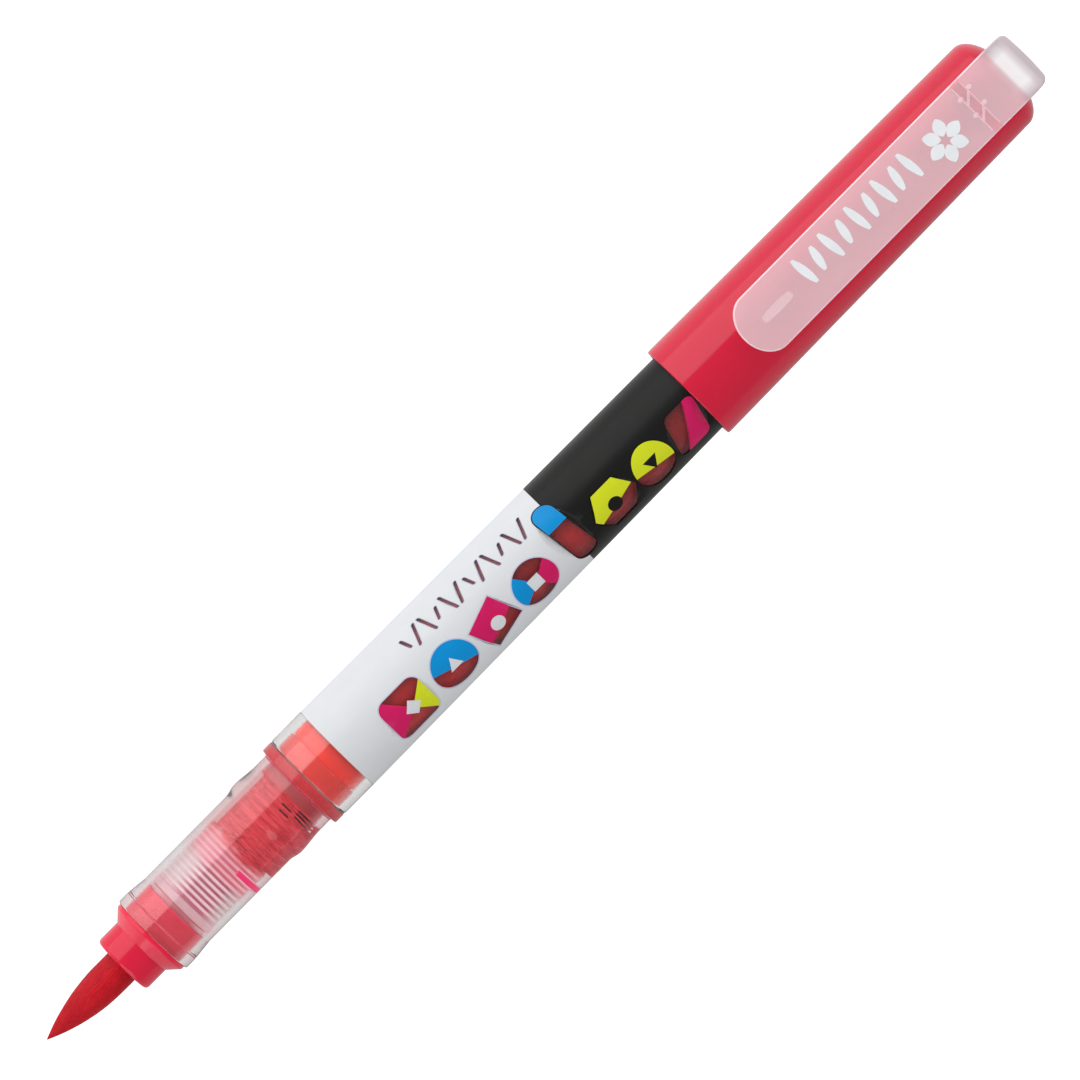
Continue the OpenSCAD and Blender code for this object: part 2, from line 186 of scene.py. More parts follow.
BRUSH_R = 2.22
BRUSH_SIDES, BRUSH_RINGS = 240, 120
GROUND_LENGTH, GROUND_CURVE = 10.3, 2.05
FIBRE_BUNDLES, STRAY_BUNDLES, FIBRE_DEPTH = 46, 31, 0.012
TIP_LEAN = 0.17


def box_mm(node):
    """The lowest and highest corners of a CAD solid, in millimetres."""
    low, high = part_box(node)
    return low / MM, high / MM


def finished(piece, material, sharp=32):
    """Gives a piece its material and smooth faces, with an edge kept crisp where it turns sharply."""
    piece.data.materials.append(material)
    piece.data.shade_smooth()
    piece.data.set_sharp_from_angle(angle=math.radians(sharp))
    return piece


def off_the_bench(name, work):
    """A new object from the mesh that was being worked on."""
    mesh = bpy.data.meshes.new(name)
    work.to_mesh(mesh)
    work.free()
    return new_object(name, mesh)


def turned(name, outline, sides=192, relief=None, closed=True):
    """A piece turned about the pen's axis from its outline of (station, radius) in millimetres. The
    angle that relief takes is 0 at the top and grows towards the far side."""
    work = bmesh.new()
    rings = []
    for x, r in outline:
        if r < 0.001:
            rings.append([work.verts.new((x * MM, 0, 0))])
            continue
        ring = []
        for k in range(sides):
            a = (2 * math.pi * k / sides + math.pi) % (2 * math.pi) - math.pi
            rr = relief(x, r, a) if relief else r
            ring.append(work.verts.new((x * MM, rr * math.sin(a) * MM, rr * math.cos(a) * MM)))
        rings.append(ring)
    following = rings[1:] + (rings[:1] if closed else [])
    for near, far in zip(rings, following):
        if len(near) == 1 and len(far) == 1:
            continue
        for k in range(sides):
            corners = [near[k % len(near)], near[(k + 1) % len(near)],
                       far[(k + 1) % len(far)], far[k % len(far)]]
            work.faces.new(list(dict.fromkeys(corners)))
    bmesh.ops.recalc_face_normals(work, faces=work.faces)
    return off_the_bench(name, work)


def rounded(corners, steps=5):
    """An outline of (station, radius) through corners of (station, radius, rounding), in millimetres."""
    points = []
    count = len(corners)
    for i, (x, r, rounding) in enumerate(corners):
        here = Vector((x, r))
        if rounding <= 0:
            points.append((x, r))
            continue
        before = Vector(corners[i - 1][:2]) - here
        after = Vector(corners[(i + 1) % count][:2]) - here
        reach = rounding * math.tan((math.pi - before.angle(after)) / 2)
        reach = min(reach, 0.48 * before.length, 0.48 * after.length)
        a, b = here + before.normalized() * reach, here + after.normalized() * reach
        for k in range(steps + 1):
            t = k / steps
            p = a * (1 - t) ** 2 + here * 2 * t * (1 - t) + b * t * t
            points.append((p.x, p.y))
    return points


def smooth(t):
    """Eases a share between 0 and 1, and holds it at its ends."""
    t = min(max(t, 0.0), 1.0)
    return t * t * (3 - 2 * t)


def new_group(name, inputs, outputs):
    """An empty shader node group. Each socket is a name with its default, a colour or a number."""
    group = bpy.data.node_groups.new(name, "ShaderNodeTree")
    for socket, value in inputs.items():
        kind = "NodeSocketFloat" if isinstance(value, float) else "NodeSocketColor"
        group.interface.new_socket(socket, in_out="INPUT", socket_type=kind).default_value = value
    for socket, kind in outputs.items():
        group.interface.new_socket(socket, in_out="OUTPUT", socket_type="NodeSocket" + kind)
    return group, group.nodes.new("NodeGroupInput"), group.nodes.new("NodeGroupOutput")


def fill(tree, factor, a, b, blend="MIX"):
    """The colour that mixes a and b by factor."""
    node = add(tree, "Mix", data_type="RGBA", blend_type=blend)
    for index, value in ((0, factor), (6, a), (7, b)):
        if isinstance(value, bpy.types.NodeSocket):
            tree.links.new(value, node.inputs[index])
        else:
            node.inputs[index].default_value = value
    return node.outputs[2]


def sums(tree, operation, *values):
    """The result of one Math node."""
    return add(tree, "Math", dict(enumerate(values)), operation=operation).outputs[0]


def stretched(tree, x, y, z):
    """The surface's own coordinates, in metres, times a stretch along each axis."""
    place = add(tree, "TexCoord").outputs["Object"]
    return add(tree, "Mapping", {"Vector": place, "Scale": (x, y, z)}).outputs[0]


def cloudy(tree, x, y, z, detail=2.0, rough=0.5):
    """Cloudy noise between 0 and 1, with that stretch along each axis."""
    return add(tree, "TexNoise", {"Vector": stretched(tree, x, y, z), "Scale": 1.0, "Detail": detail,
                                  "Roughness": rough}).outputs[0]


def gives(group, group_out, colour, rough, normal):
    """Wires what a surface group puts out."""
    for key, value in (("Colour", colour), ("Roughness", rough), ("Normal", normal)):
        group.links.new(value, group_out.inputs[key])


# Fibres: fine lengthwise strands, painted darker between them, partly their own tone and partly painted shade in the
# grooves that the bump makes, with small painted glints on top.
SURFACE_OUT = {"Colour": "Color", "Roughness": "Float", "Normal": "Vector"}
fibre_group, fibre_in, fibre_out = new_group(
    "fibre_strands", {"Colour": (0.5, 0.02, 0.04, 1), "Between": (0.2, 0.01, 0.02, 1), "Glint": (0.8, 0.2, 0.2, 1),
                      "Roughness": 0.45}, SURFACE_OUT)
strands = cloudy(fibre_group, 900, 9000, 9000, 3.0, 0.6)
clumps = cloudy(fibre_group, 160, 900, 900)
specks = add(fibre_group, "TexVoronoi", {"Vector": stretched(fibre_group, 3200, 7500, 7500),
                                         "Scale": 1.0}).outputs["Distance"]
tone = sums(fibre_group, "MULTIPLY", ramp(fibre_group, strands, 0.36, 0.64), 0.6)
tone = sums(fibre_group, "ADD", tone, ramp(fibre_group, clumps, 0.35, 0.65, 0.0, 0.4))
fibre_colour = fill(fibre_group, tone, fibre_in.outputs["Between"], fibre_in.outputs["Colour"])
fibre_colour = fill(fibre_group, ramp(fibre_group, specks, 0.16, 0.05, 0.0, 0.55), fibre_colour,
                    fibre_in.outputs["Glint"])
fibre_rough = sums(fibre_group, "ADD", fibre_in.outputs["Roughness"],
                   ramp(fibre_group, strands, 0.3, 0.7, -0.1, 0.1))
fibre_bump = add(fibre_group, "Bump", {"Height": strands, "Strength": 0.55, "Distance": 0.00004}).outputs[0]
gives(fibre_group, fibre_out, fibre_colour, fibre_rough, fibre_bump)


def with_group(tree, shader, group, **values):
    """Places a surface group in a material with its own values, and feeds the shader from it."""
    node = tree.nodes.new("ShaderNodeGroup")
    node.node_tree = group
    for key, value in values.items():
        if isinstance(value, bpy.types.NodeSocket):
            tree.links.new(value, node.inputs[key])
        else:
            node.inputs[key].default_value = value
    for output, socket in (("Colour", "Base Color"), ("Roughness", "Roughness"), ("Normal", "Normal")):
        tree.links.new(node.outputs[output], shader.inputs[socket])


brush_tree, brush_shader, brush_material = new_material("inked_fibre", Specular_IOR_Level=0.12)
# The brush's colours: a darker tone between strands that is partly painted shade, and a paler painted glint.
with_group(brush_tree, brush_shader, fibre_group, Colour=paint(214, 28, 42), Between=paint(170, 14, 28),
           Glint=paint(236, 110, 112), Roughness=0.42)

tip_low = box_mm("brush_tip")[0]
root_high = box_mm("brush_root")[1]
mouth_x = box_mm("nib_holder")[0].x
brush_length = root_high.x - tip_low.x
brush_outline = []
for i in range(BRUSH_RINGS + 1):
    x = brush_length * (i / BRUSH_RINGS) ** 1.6
    rise = 1 - max(0.0, 1 - x / GROUND_LENGTH) ** GROUND_CURVE
    brush_outline.append((tip_low.x + x, BRUSH_R * rise))


def fibre_relief(x, r, a):
    """Fine flutes where the fibres gather into bundles, wandering a little round the brush."""
    wander = noise.noise(Vector((x * 0.25, math.cos(a), math.sin(a)))) * 2.4
    flute = math.cos(FIBRE_BUNDLES * a + wander * 3) + 0.6 * math.cos(STRAY_BUNDLES * a - wander * 5)
    return r + FIBRE_DEPTH * flute * min(1.0, r / 0.8)


brush = turned("brush", brush_outline + [(root_high.x, 0.0)], BRUSH_SIDES, fibre_relief, closed=False)
for vertex in brush.data.vertices:
    share = max(0.0, (mouth_x * MM - vertex.co.x) / ((mouth_x - tip_low.x) * MM))
    vertex.co.y += TIP_LEAN * MM * share ** 2
finished(brush, brush_material, 60)
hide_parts("brush_tip", "brush_root")
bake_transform(brush)


# --- Ferrule ---------------------------------------------------------------------------------
# A thin moulded cup, pressed into the nib holder from behind, that grips the brush's root.
# It is natural plastic, stained where the ink reaches it.

# Moulded surface: faint mottling, fine grain and hair scratches along the pen.
moulded_group, moulded_in, moulded_out = new_group(
    "moulded_surface", {"Colour": (0.8, 0.8, 0.8, 1), "Shade": (0.6, 0.6, 0.6, 1), "Mottle": 0.3, "Roughness": 0.3,
                        "Scratches": 0.1, "Grain": 0.1}, SURFACE_OUT)
patches = cloudy(moulded_group, 260, 420, 420, 4.0, 0.55)
grain = cloudy(moulded_group, 9000, 9000, 9000)
hairs = cloudy(moulded_group, 120, 7000, 7000, 1.0)
hairs = sums(moulded_group, "MULTIPLY", ramp(moulded_group, hairs, 0.70, 0.80), moulded_in.outputs["Scratches"])
mottle = sums(moulded_group, "MULTIPLY", ramp(moulded_group, patches, 0.35, 0.70), moulded_in.outputs["Mottle"])
moulded_colour = fill(moulded_group, mottle, moulded_in.outputs["Colour"], moulded_in.outputs["Shade"])
moulded_rough = sums(moulded_group, "ADD", moulded_in.outputs["Roughness"],
                     ramp(moulded_group, patches, 0.3, 0.7, -0.03, 0.05))
moulded_rough = sums(moulded_group, "ADD", moulded_rough, hairs)
height = sums(moulded_group, "SUBTRACT", sums(moulded_group, "MULTIPLY", grain, moulded_in.outputs["Grain"]), hairs)
moulded_bump = add(moulded_group, "Bump", {"Height": height, "Strength": 0.6, "Distance": 0.00002}).outputs[0]
gives(moulded_group, moulded_out, moulded_colour, moulded_rough, moulded_bump)


def moulded(name, colour, shade, mottle, rough, scratches, grain, specular=0.5):
    """A plain finish in two close tones, as mottled, rough, scratched and grainy as the shares say."""
    tree, shader, material = new_material(name, Specular_IOR_Level=specular)
    with_group(tree, shader, moulded_group, Colour=colour, Shade=shade, Mottle=mottle, Roughness=rough,
               Scratches=scratches, Grain=grain)
    return material


CUP_BORE_R, CUP_FLOOR, WICK_BORE_R = BRUSH_R + 0.06, 0.8, 1.06
natural_material = moulded("natural_plastic", paint(226, 218, 214), paint(214, 170, 172), mottle=0.5, rough=0.38,
                           scratches=0.15, grain=0.3)
ferrule_low, ferrule_high = box_mm("brush_ferrule")
ferrule_r = ferrule_high.z
cup_floor_x = ferrule_high.x - CUP_FLOOR
ferrule = turned("brush_cup", rounded([
    (ferrule_low.x, CUP_BORE_R, 0.1), (ferrule_low.x, ferrule_r, 0.15), (ferrule_high.x, ferrule_r, 0.15),
    (ferrule_high.x, WICK_BORE_R, 0.08), (cup_floor_x, WICK_BORE_R, 0), (cup_floor_x, CUP_BORE_R, 0.1)]), 96)
finished(ferrule, natural_material)
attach(ferrule, "pen")
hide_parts("brush_ferrule")


# --- Nib holder ------------------------------------------------------------------------------
# Polished red nose with a round front edge, a sloping shoulder and a plug that presses into the
# grip section. One moulding; the brush comes through its mouth.

NOSE_R, RIM_R, PLUG_R, MOUTH_R = 3.95, 5.2, 4.46, 2.3
SHOULDER_START, SHOULDER_END, RIM_END = 3.2, 4.55, 5.03


def polished_red(name, colour, shade, zones=()):
    """Polished opaque plastic, with faint swirls in the colour. Each zone is the station where its
    colour starts and the length over which it comes in, in millimetres, and the colour."""
    tree, shader, material = new_material(name, Specular_IOR_Level=0.45, Coat_Weight=0.1, Coat_Roughness=0.05)
    along_pen = place_of(tree)[0]
    for start, length, zone_colour in zones:
        colour = fill(tree, ramp(tree, along_pen, start * MM, (start + length) * MM), colour, zone_colour)
    with_group(tree, shader, moulded_group, Colour=colour, Shade=shade, Mottle=0.35, Roughness=0.14, Scratches=0.12,
               Grain=0.05)
    return material


nib_low, nib_high = box_mm("nib_holder")
nose_x = nib_low.x
shoulder_x, rim_x = nose_x + SHOULDER_START, nose_x + RIM_END
# The sloping shoulder is painted a lighter coral, painted light where it faces the lamp beyond the brush.
nose_material = polished_red("nose_red", paint(228, 20, 62), paint(220, 15, 54), (
    (shoulder_x - 0.05, 0.1, paint(238, 62, 84)), (nose_x + SHOULDER_END - 0.2, 0.2, paint(244, 28, 68)),
    (rim_x, 0.05, paint(220, 68, 89)), (nib_high.x - 0.3, 0.1, paint(244, 70, 104))))
nib_holder = turned("red_nose", rounded([
    (nose_x, MOUTH_R + 0.4, 0.12), (nose_x, NOSE_R, 0.95), (shoulder_x, NOSE_R, 0.12),
    (nose_x + SHOULDER_END, RIM_R, 0.2), (rim_x, RIM_R, 0.1), (rim_x, PLUG_R, 0.0), (nose_x + 5.4, PLUG_R - 0.02, 0.0),
    (nib_high.x, PLUG_R - 0.03, 0.2), (nib_high.x, ferrule_r + 0.02, 0.1), (ferrule_low.x, ferrule_r + 0.02, 0),
    (ferrule_low.x, MOUTH_R, 0), (nose_x + 0.4, MOUTH_R, 0.15)], 7))
finished(nib_holder, nose_material)
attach(nib_holder, "pen")
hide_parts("nib_holder")


# --- Ink wick --------------------------------------------------------------------------------
# A rod of bonded fibres that runs from the ink through the collector to the brush's root.
# It is pushed in dry and drinks its fill of ink.

WICK_R = 1.0
wick_tree, wick_shader, wick_material = new_material("wick_fibre", Specular_IOR_Level=0.3)
# The wick's fibres get the same painted glints and the same partly painted shade between the strands.
with_group(wick_tree, wick_shader, fibre_group, Colour=paint(208, 70, 84), Between=paint(150, 30, 46),
           Glint=paint(236, 170, 174), Roughness=0.7)
wick_low, wick_high = box_mm("ink_wick")


def wick_relief(x, r, a):
    """Shallow flutes that twist slightly along the rod."""
    return r - 0.03 * (0.5 + 0.5 * math.cos(18 * a + 0.4 * math.sin(x)))


wick_outline = [(wick_low.x, 0.0), (wick_low.x, WICK_R - 0.1), (wick_low.x + 0.1, WICK_R)]
wick_outline += [(wick_low.x + 0.5 + i * (wick_high.x - wick_low.x - 1) / 40, WICK_R) for i in range(41)]
wick_outline += [(wick_high.x - 0.1, WICK_R), (wick_high.x, WICK_R - 0.1), (wick_high.x, 0.0)]
ink_wick = turned("wick_rod", wick_outline, 144, wick_relief, closed=False)
finished(ink_wick, wick_material)
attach(ink_wick, "pen")
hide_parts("ink_wick")


# --- Collector -------------------------------------------------------------------------------
# The capillary comb that keeps the ink from flooding: a front disc, thin fins on a slim core, then
# a finely grooved drum that holds ink. It slides into the grip section from behind.

COLLECTOR_R, BOSS_R, CORE_R, DRUM_R, WET_R = 4.43, 4.3, 1.9, 3.86, 4.487
DISC_SET, DISC_T = 0.75, 1.0
FIN_SET, FIN_PITCH, FIN_T, FINS = 2.25, 0.695, 0.35, 12
DRUM_SET, RING_SET, DRUM_END = 10.53, 18.45, 18.75
# Each slot's distance from the comb's front, and the angles where it starts and ends.
SLOTS = ((17.35, -0.50, -1.15), (17.80, -0.48, -1.12), (18.21, -0.46, -1.1), (16.75, 0.0, -0.36),
         (17.5, 0.05, -0.30))
SLOT_W, SLOT_DEPTH = 0.2, 0.5
SLUG_START, SLUG_END = 7.75, 8.9
GROOVE_R, GROOVE_DEEP, OUTER_R = 4.30, 0.16, 3
FEED_HALF, FEED_DEPTH = 0.06, 0.5
PINK_START, PINK_FULL, SOAKED_START, SOAKED_FULL = 5.8, 7.0, 9.4, 10.1
DRUM_STEPS = 99

comb_low, comb_high = box_mm("collector")
comb_x = comb_low.x
disc_x, disc_end_x = comb_x + DISC_SET, comb_x + DISC_SET + DISC_T
comb_corners = [(comb_x, WICK_BORE_R, 0), (comb_x, BOSS_R - 0.2, 0.1), (disc_x, BOSS_R - 0.2, 0.05),
                (disc_x, COLLECTOR_R, 0.12), (disc_end_x, COLLECTOR_R, 0.12), (disc_end_x, CORE_R, 0.05)]
for i in range(FINS):
    fin_x = comb_x + FIN_SET + i * FIN_PITCH
    comb_corners += [(fin_x, CORE_R, 0.05), (fin_x, COLLECTOR_R, 0.06), (fin_x + FIN_T, COLLECTOR_R, 0.06),
                     (fin_x + FIN_T, CORE_R, 0.05)]
comb_corners += [(comb_x + DRUM_SET, CORE_R, 0), (comb_x + DRUM_SET, DRUM_R, 0)]
comb_outline = rounded(comb_corners, 2)
drum_stations = [comb_x + s[0] + side for s in SLOTS for side in (-0.01, 0.01, SLOT_W - 0.01, SLOT_W + 0.01)]
drum_stations += [comb_x + DRUM_SET + 0.04 + (RING_SET - DRUM_SET - 0.08) * i / DRUM_STEPS
                  for i in range(DRUM_STEPS + 1)]
comb_outline += [(x, DRUM_R) for x in sorted(drum_stations)]
comb_outline += rounded([(comb_x + RING_SET, DRUM_R, 0), (comb_x + RING_SET, COLLECTOR_R, 0.06),
                         (comb_x + DRUM_END, COLLECTOR_R, 0.06), (comb_x + DRUM_END, BOSS_R, 0.05),
                         (comb_high.x, BOSS_R, 0.15), (comb_high.x, WICK_BORE_R, 0.05)], 2)


def slug_at(s, a):
    """Where one gap is filled with ink, from the middle of the near side down."""
    return smooth((-0.36 - a) / 0.06) * smooth((a + 2.1) / 0.3) if SLUG_START < s < SLUG_END else 0.0


def comb_relief(x, r, a):
    """Grooves and slots in the drum, ink that fills the gap along its near side, the feed slot
    underneath, and the floors of the grooves between the fins, which are fuller than the core."""
    s = x - comb_x
    outer = r > OUTER_R
    if outer and DRUM_SET < s < RING_SET:
        for slot_set, slot_start, slot_end in SLOTS:
            if slot_set < s < slot_set + SLOT_W and slot_end < a < slot_start:
                return r - SLOT_DEPTH
        shore = -0.62 + 0.10 * noise.noise(Vector((x * 0.9, 0, 3.1))) + 0.05 * noise.noise(Vector((x * 4, a, 1.7)))
        wet = smooth((shore - a) / 0.22) * smooth((a + 2.9) / 0.2)
        groove = 0.07 * (0.5 + 0.5 * math.cos(2 * math.pi * s / 0.4)) ** 4
        lumps = 0.06 * noise.noise(Vector((x * 3.1, math.cos(a) * 3, math.sin(a) * 3)))
        return r - groove * (1 - wet) + lumps * (1 - wet) + (WET_R - r) * wet
    if outer and FIN_SET < s < DRUM_SET and abs(abs(a) - math.pi) < FEED_HALF:
        return r - FEED_DEPTH
    if not outer and DISC_SET + DISC_T - 0.01 < s < DRUM_SET + 0.01:
        open_side = smooth((0.62 - a) / 0.4) * smooth((a + 1.15) / 0.4)
        groove = GROOVE_R - GROOVE_DEEP * open_side * (1 - 0.6 * smooth((s - 6.2) / 0.6))
        return groove + (WET_R - groove) * (slug_at(s, a) if SLUG_START + 0.3 < s < SLUG_END - 0.3 else 0.0)
    return r + (WET_R - r) * slug_at(s, a)


stained, stained_shader, stained_material = new_material("stained_comb", Specular_IOR_Level=0.5)
along_comb, across_comb, up_comb = place_of(stained)
radius = sums(stained, "SQRT", sums(stained, "ADD", sums(stained, "MULTIPLY", across_comb, across_comb),
                                    sums(stained, "MULTIPLY", up_comb, up_comb)))


def past(station, start, end):
    """Comes in between two distances from the comb's front, in millimetres."""
    return ramp(stained, station, (comb_x + start) * MM, (comb_x + end) * MM)


# The stain creeps along unevenly, and further along the near side.
seep = ramp(stained, cloudy(stained, 500, 260, 260, 3.0), 0.3, 0.7, -0.0006, 0.0006)
stain = sums(stained, "ADD", along_comb, seep)
stain = sums(stained, "SUBTRACT", stain, ramp(stained, across_comb, -0.004, 0.004, 0.0, 0.0007))

# Pale disc and fins, then pink fins. Along the middle of the view the grooves between them are painted darker, partly
# the core's own mauve stain and partly painted shade where the gaps look deep, and the fins are painted paler there, a
# painted highlight.
middle = sums(stained, "MULTIPLY", ramp(stained, across_comb, 0.0026, 0.0012),
              ramp(stained, across_comb, -0.0032, -0.0020))
deep = ramp(stained, radius, 0.00438, 0.00430)
groove_front = fill(stained, middle, paint(222, 204, 208), paint(216, 140, 162))
fin_colour = fill(stained, middle, paint(230, 218, 218), paint(248, 226, 230))
pale = fill(stained, deep, fin_colour, groove_front)
groove_rear = fill(stained, middle, paint(232, 174, 186), paint(232, 154, 172))
pink = fill(stained, deep, paint(242, 210, 215), groove_rear)
# The front boss is painted darker pink across the middle and pale towards both edges, palest at the near edge: painted
# shade and a painted highlight.
front_boss = fill(stained, ramp(stained, across_comb, 0.0032, 0.0018), paint(230, 208, 210), paint(216, 152, 158))
front_boss = fill(stained, ramp(stained, across_comb, -0.0018, -0.0032), front_boss, paint(248, 238, 241))
front_disc = fill(stained, past(along_comb, DISC_SET - 0.13, DISC_SET), front_boss, paint(222, 202, 208))
pale = fill(stained, past(along_comb, DISC_SET + DISC_T + 0.05, DISC_SET + DISC_T + 0.1), front_disc, pale)
colour = fill(stained, past(stain, PINK_START, PINK_FULL), pale, pink)

# Drum soaked in ink: streaks, blots and dark creases, a deeper red on the near side, and a clean boss.
streaks = cloudy(stained, 2300, 240, 240, 4.0, 0.7)
blots = cloudy(stained, 420, 420, 420, 4.0)
crumple = add(stained, "TexNoise", {"Vector": stretched(stained, 900, 500, 500), "Scale": 1.0, "Detail": 2.0})
wrinkled = add(stained, "VectorMath", {0: stretched(stained, 1500, 560, 560), 1: crumple.outputs[1]},
               operation="ADD").outputs[0]
creases = add(stained, "TexVoronoi", {"Vector": wrinkled, "Scale": 1.0},
              feature="DISTANCE_TO_EDGE").outputs["Distance"]
creases = sums(stained, "MULTIPLY", ramp(stained, creases, 0.09, 0.02), ramp(stained, blots, 0.50, 0.60, 0.0, 0.6))
streaks = ramp(stained, streaks, 0.40, 0.60)
soaked = fill(stained, streaks, paint(204, 52, 68), paint(230, 96, 112))
lower = fill(stained, streaks, paint(176, 34, 54), paint(208, 76, 94))
soaked = fill(stained, ramp(stained, across_comb, -0.0012, -0.0026), soaked, lower)
soaked = fill(stained, ramp(stained, blots, 0.5, 0.72, 0.0, 0.5), soaked, paint(238, 100, 118))
soaked = fill(stained, creases, soaked, paint(138, 16, 34))
boss = fill(stained, ramp(stained, across_comb, 0.0020, -0.0026), paint(196, 122, 124), paint(160, 62, 72))
soaked = fill(stained, past(along_comb, DRUM_END + 0.01, DRUM_END + 0.05), soaked, boss)
colour = fill(stained, past(stain, SOAKED_START, SOAKED_FULL), colour, soaked)

# Ink caught in one gap, and the slots' floors painted dark, painted shade in the recesses.
slug = sums(stained, "MULTIPLY", past(along_comb, SLUG_START + 0.23, SLUG_START + 0.27),
            past(along_comb, SLUG_END - 0.18, SLUG_END - 0.22))
slug = sums(stained, "MULTIPLY", slug, ramp(stained, across_comb, -0.0015, -0.0017))
colour = fill(stained, slug, colour, paint(248, 50, 124))
slot_floor_shade = sums(stained, "MULTIPLY", ramp(stained, radius, 0.00375, 0.00360), past(along_comb, 16.0, 16.1))
colour = fill(stained, slot_floor_shade, colour, paint(130, 20, 50))
# Painted light and shade by side: the near side is painted brighter and the far side darker.
near_lit_far_shaded = ramp(stained, across_comb, -0.0035, 0.003, 1.2, 0.84)
colour = fill(stained, 1.0, colour, near_lit_far_shaded, "MULTIPLY")
with_group(stained, stained_shader, moulded_group, Colour=colour, Shade=paint(190, 90, 110), Mottle=0.12,
           Roughness=0.32, Scratches=0.1, Grain=0.3)

collector = turned("collector_comb", comb_outline, 192, comb_relief)
finished(collector, stained_material)
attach(collector, "pen")
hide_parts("collector")


# --- Grip section ----------------------------------------------------------------------------
# Clear polished styrene tube that holds the collector: a flared lip, a straight grip, a low bead,
# and a flange and spigot glued into the barrel. Ink has tinted it a faint pink.

GRIP_R, GRIP_BORE_R, LIP_R, BEAD_R, NECK_R = 5.24, 4.48, 5.52, 5.54, 5.29
FLANGE_R, SPIGOT_R = 5.97, 4.98
BEAD_START, BEAD_TOP, BEAD_END, FLANGE_START, FLANGE_END = 17.35, 18.95, 22.35, 24.15, 25.52


def clear_plastic(name, rough, tints):
    """Clear plastic that lamps shine through, so that what it covers is lit. Each tint after the first
    starts at a station along the pen, in millimetres."""
    tree, shader, material = new_material(name, IOR=1.49, Transmission_Weight=1.0, Specular_IOR_Level=0.3)
    along_pen = place_of(tree)[0]
    body = tints[0]
    for start, tint in tints[1:]:
        body = fill(tree, ramp(tree, along_pen, (start - 0.5) * MM, (start + 0.5) * MM), body, tint)
    with_group(tree, shader, moulded_group, Colour=body, Shade=tints[0], Mottle=0.12, Roughness=rough, Scratches=0.05,
               Grain=0.03)
    lamps = add(tree, "BsdfTransparent", {"Color": body})
    rays = add(tree, "LightPath").outputs["Is Shadow Ray"]
    both = add(tree, "MixShader", {0: rays, 1: shader.outputs[0], 2: lamps.outputs[0]})
    tree.links.new(both.outputs[0], tree.nodes["Material Output"].inputs["Surface"])
    return material


grip_low, grip_high = box_mm("grip_section")
gx = grip_low.x
grip_material = clear_plastic("clear_grip", 0.06, (
    (0.975, 0.85, 0.86, 1), (gx + 6.2, (0.965, 0.915, 0.92, 1)), (gx + 10.2, (0.98, 0.81, 0.83, 1)),
    (gx + 13.4, (0.985, 0.71, 0.72, 1)), (gx + 24.3, (0.975, 0.93, 0.93, 1)), (gx + 25.8, (0.985, 0.985, 0.985, 1))))
grip_corners = [(gx, GRIP_BORE_R, 0.08), (gx, LIP_R, 0.2), (gx + 1.5, LIP_R, 0.25), (gx + 1.62, LIP_R - 0.1, 0.05),
                (gx + 1.75, LIP_R - 0.03, 0.1), (gx + 4.0, GRIP_R, 1.2)]
grip_corners += [(gx + BEAD_START + (BEAD_TOP - BEAD_START) * t, GRIP_R + (BEAD_R - GRIP_R) * smooth(t), 0)
                 for t in (0, 0.12, 0.24, 0.36, 0.48, 0.6, 0.72, 0.84, 1)]
grip_corners += [(gx + BEAD_TOP + (BEAD_END - BEAD_TOP) * t, NECK_R + (BEAD_R - NECK_R) * smooth(1 - t), 0)
                 for t in (0.08, 0.16, 0.25, 0.35, 0.45, 0.55, 0.65, 0.75, 0.85, 0.95)]
grip_corners += [(gx + FLANGE_START, NECK_R, 0.12), (gx + FLANGE_START, FLANGE_R, 0.2),
                 (gx + FLANGE_END, FLANGE_R, 0.1), (gx + FLANGE_END, SPIGOT_R, 0), (grip_high.x, SPIGOT_R, 0.12),
                 (grip_high.x, GRIP_BORE_R, 0.1)]
grip_section = turned("grip_tube", rounded(grip_corners, 6), 224)
finished(grip_section, grip_material, 40)
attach(grip_section, "pen")
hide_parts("grip_section")


def gathered(name, parts):
    """Joins small pieces into one object."""
    work = bmesh.new()
    for part in parts:
        work.from_mesh(part.data)
        bpy.data.objects.remove(part)
    return off_the_bench(name, work)


def dried_relief(x, r, a):
    """A line of something that dried where it was, a little high and low round the pen."""
    return r + 0.008 * noise.noise(Vector((math.cos(a) * 3, math.sin(a) * 3, x)))


# Ink that has dried where two surfaces meet: each line's station, radius and width.
dried_lines = ((gx + 1.56, LIP_R - 0.07, 0.13),                 # the lip's shoulder
               (gx + 0.75, GRIP_BORE_R - 0.008, 0.05),          # inside the lip
               (nib_high.x + 0.03, GRIP_BORE_R - 0.035, 0.16),  # the end of the nose's plug
               (comb_x + 0.62, BOSS_R - 0.17, 0.07),            # in front of the comb's disc
               (gx + 23.95, NECK_R + 0.012, 0.12))              # in front of the flange
rings = []
for ring_x, ring_r, ring_w in dried_lines:
    near_x, far_x = ring_x - ring_w / 2, ring_x + ring_w / 2
    rings.append(turned("ring", rounded([(near_x, ring_r - 0.03, 0), (near_x, ring_r, 0.02), (far_x, ring_r, 0.02),
                                         (far_x, ring_r - 0.03, 0)], 2), 160, dried_relief))
ink_rings = gathered("dried_ink_rings", rings)
finished(ink_rings, moulded("dried_ink", paint(206, 44, 84), paint(226, 120, 140), mottle=0.9, rough=0.4,
                            scratches=0.0, grain=0.2, specular=0.3))
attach(ink_rings, "pen")


# --- Ink -------------------------------------------------------------------------------------
# Pigment ink: it fills the section's neck and the barrel back to an air space at the tail.
# Painted bright where light falls through the collar, duller in the neck, and painted dark behind the film, darker
# towards the tail: painted light and shade.

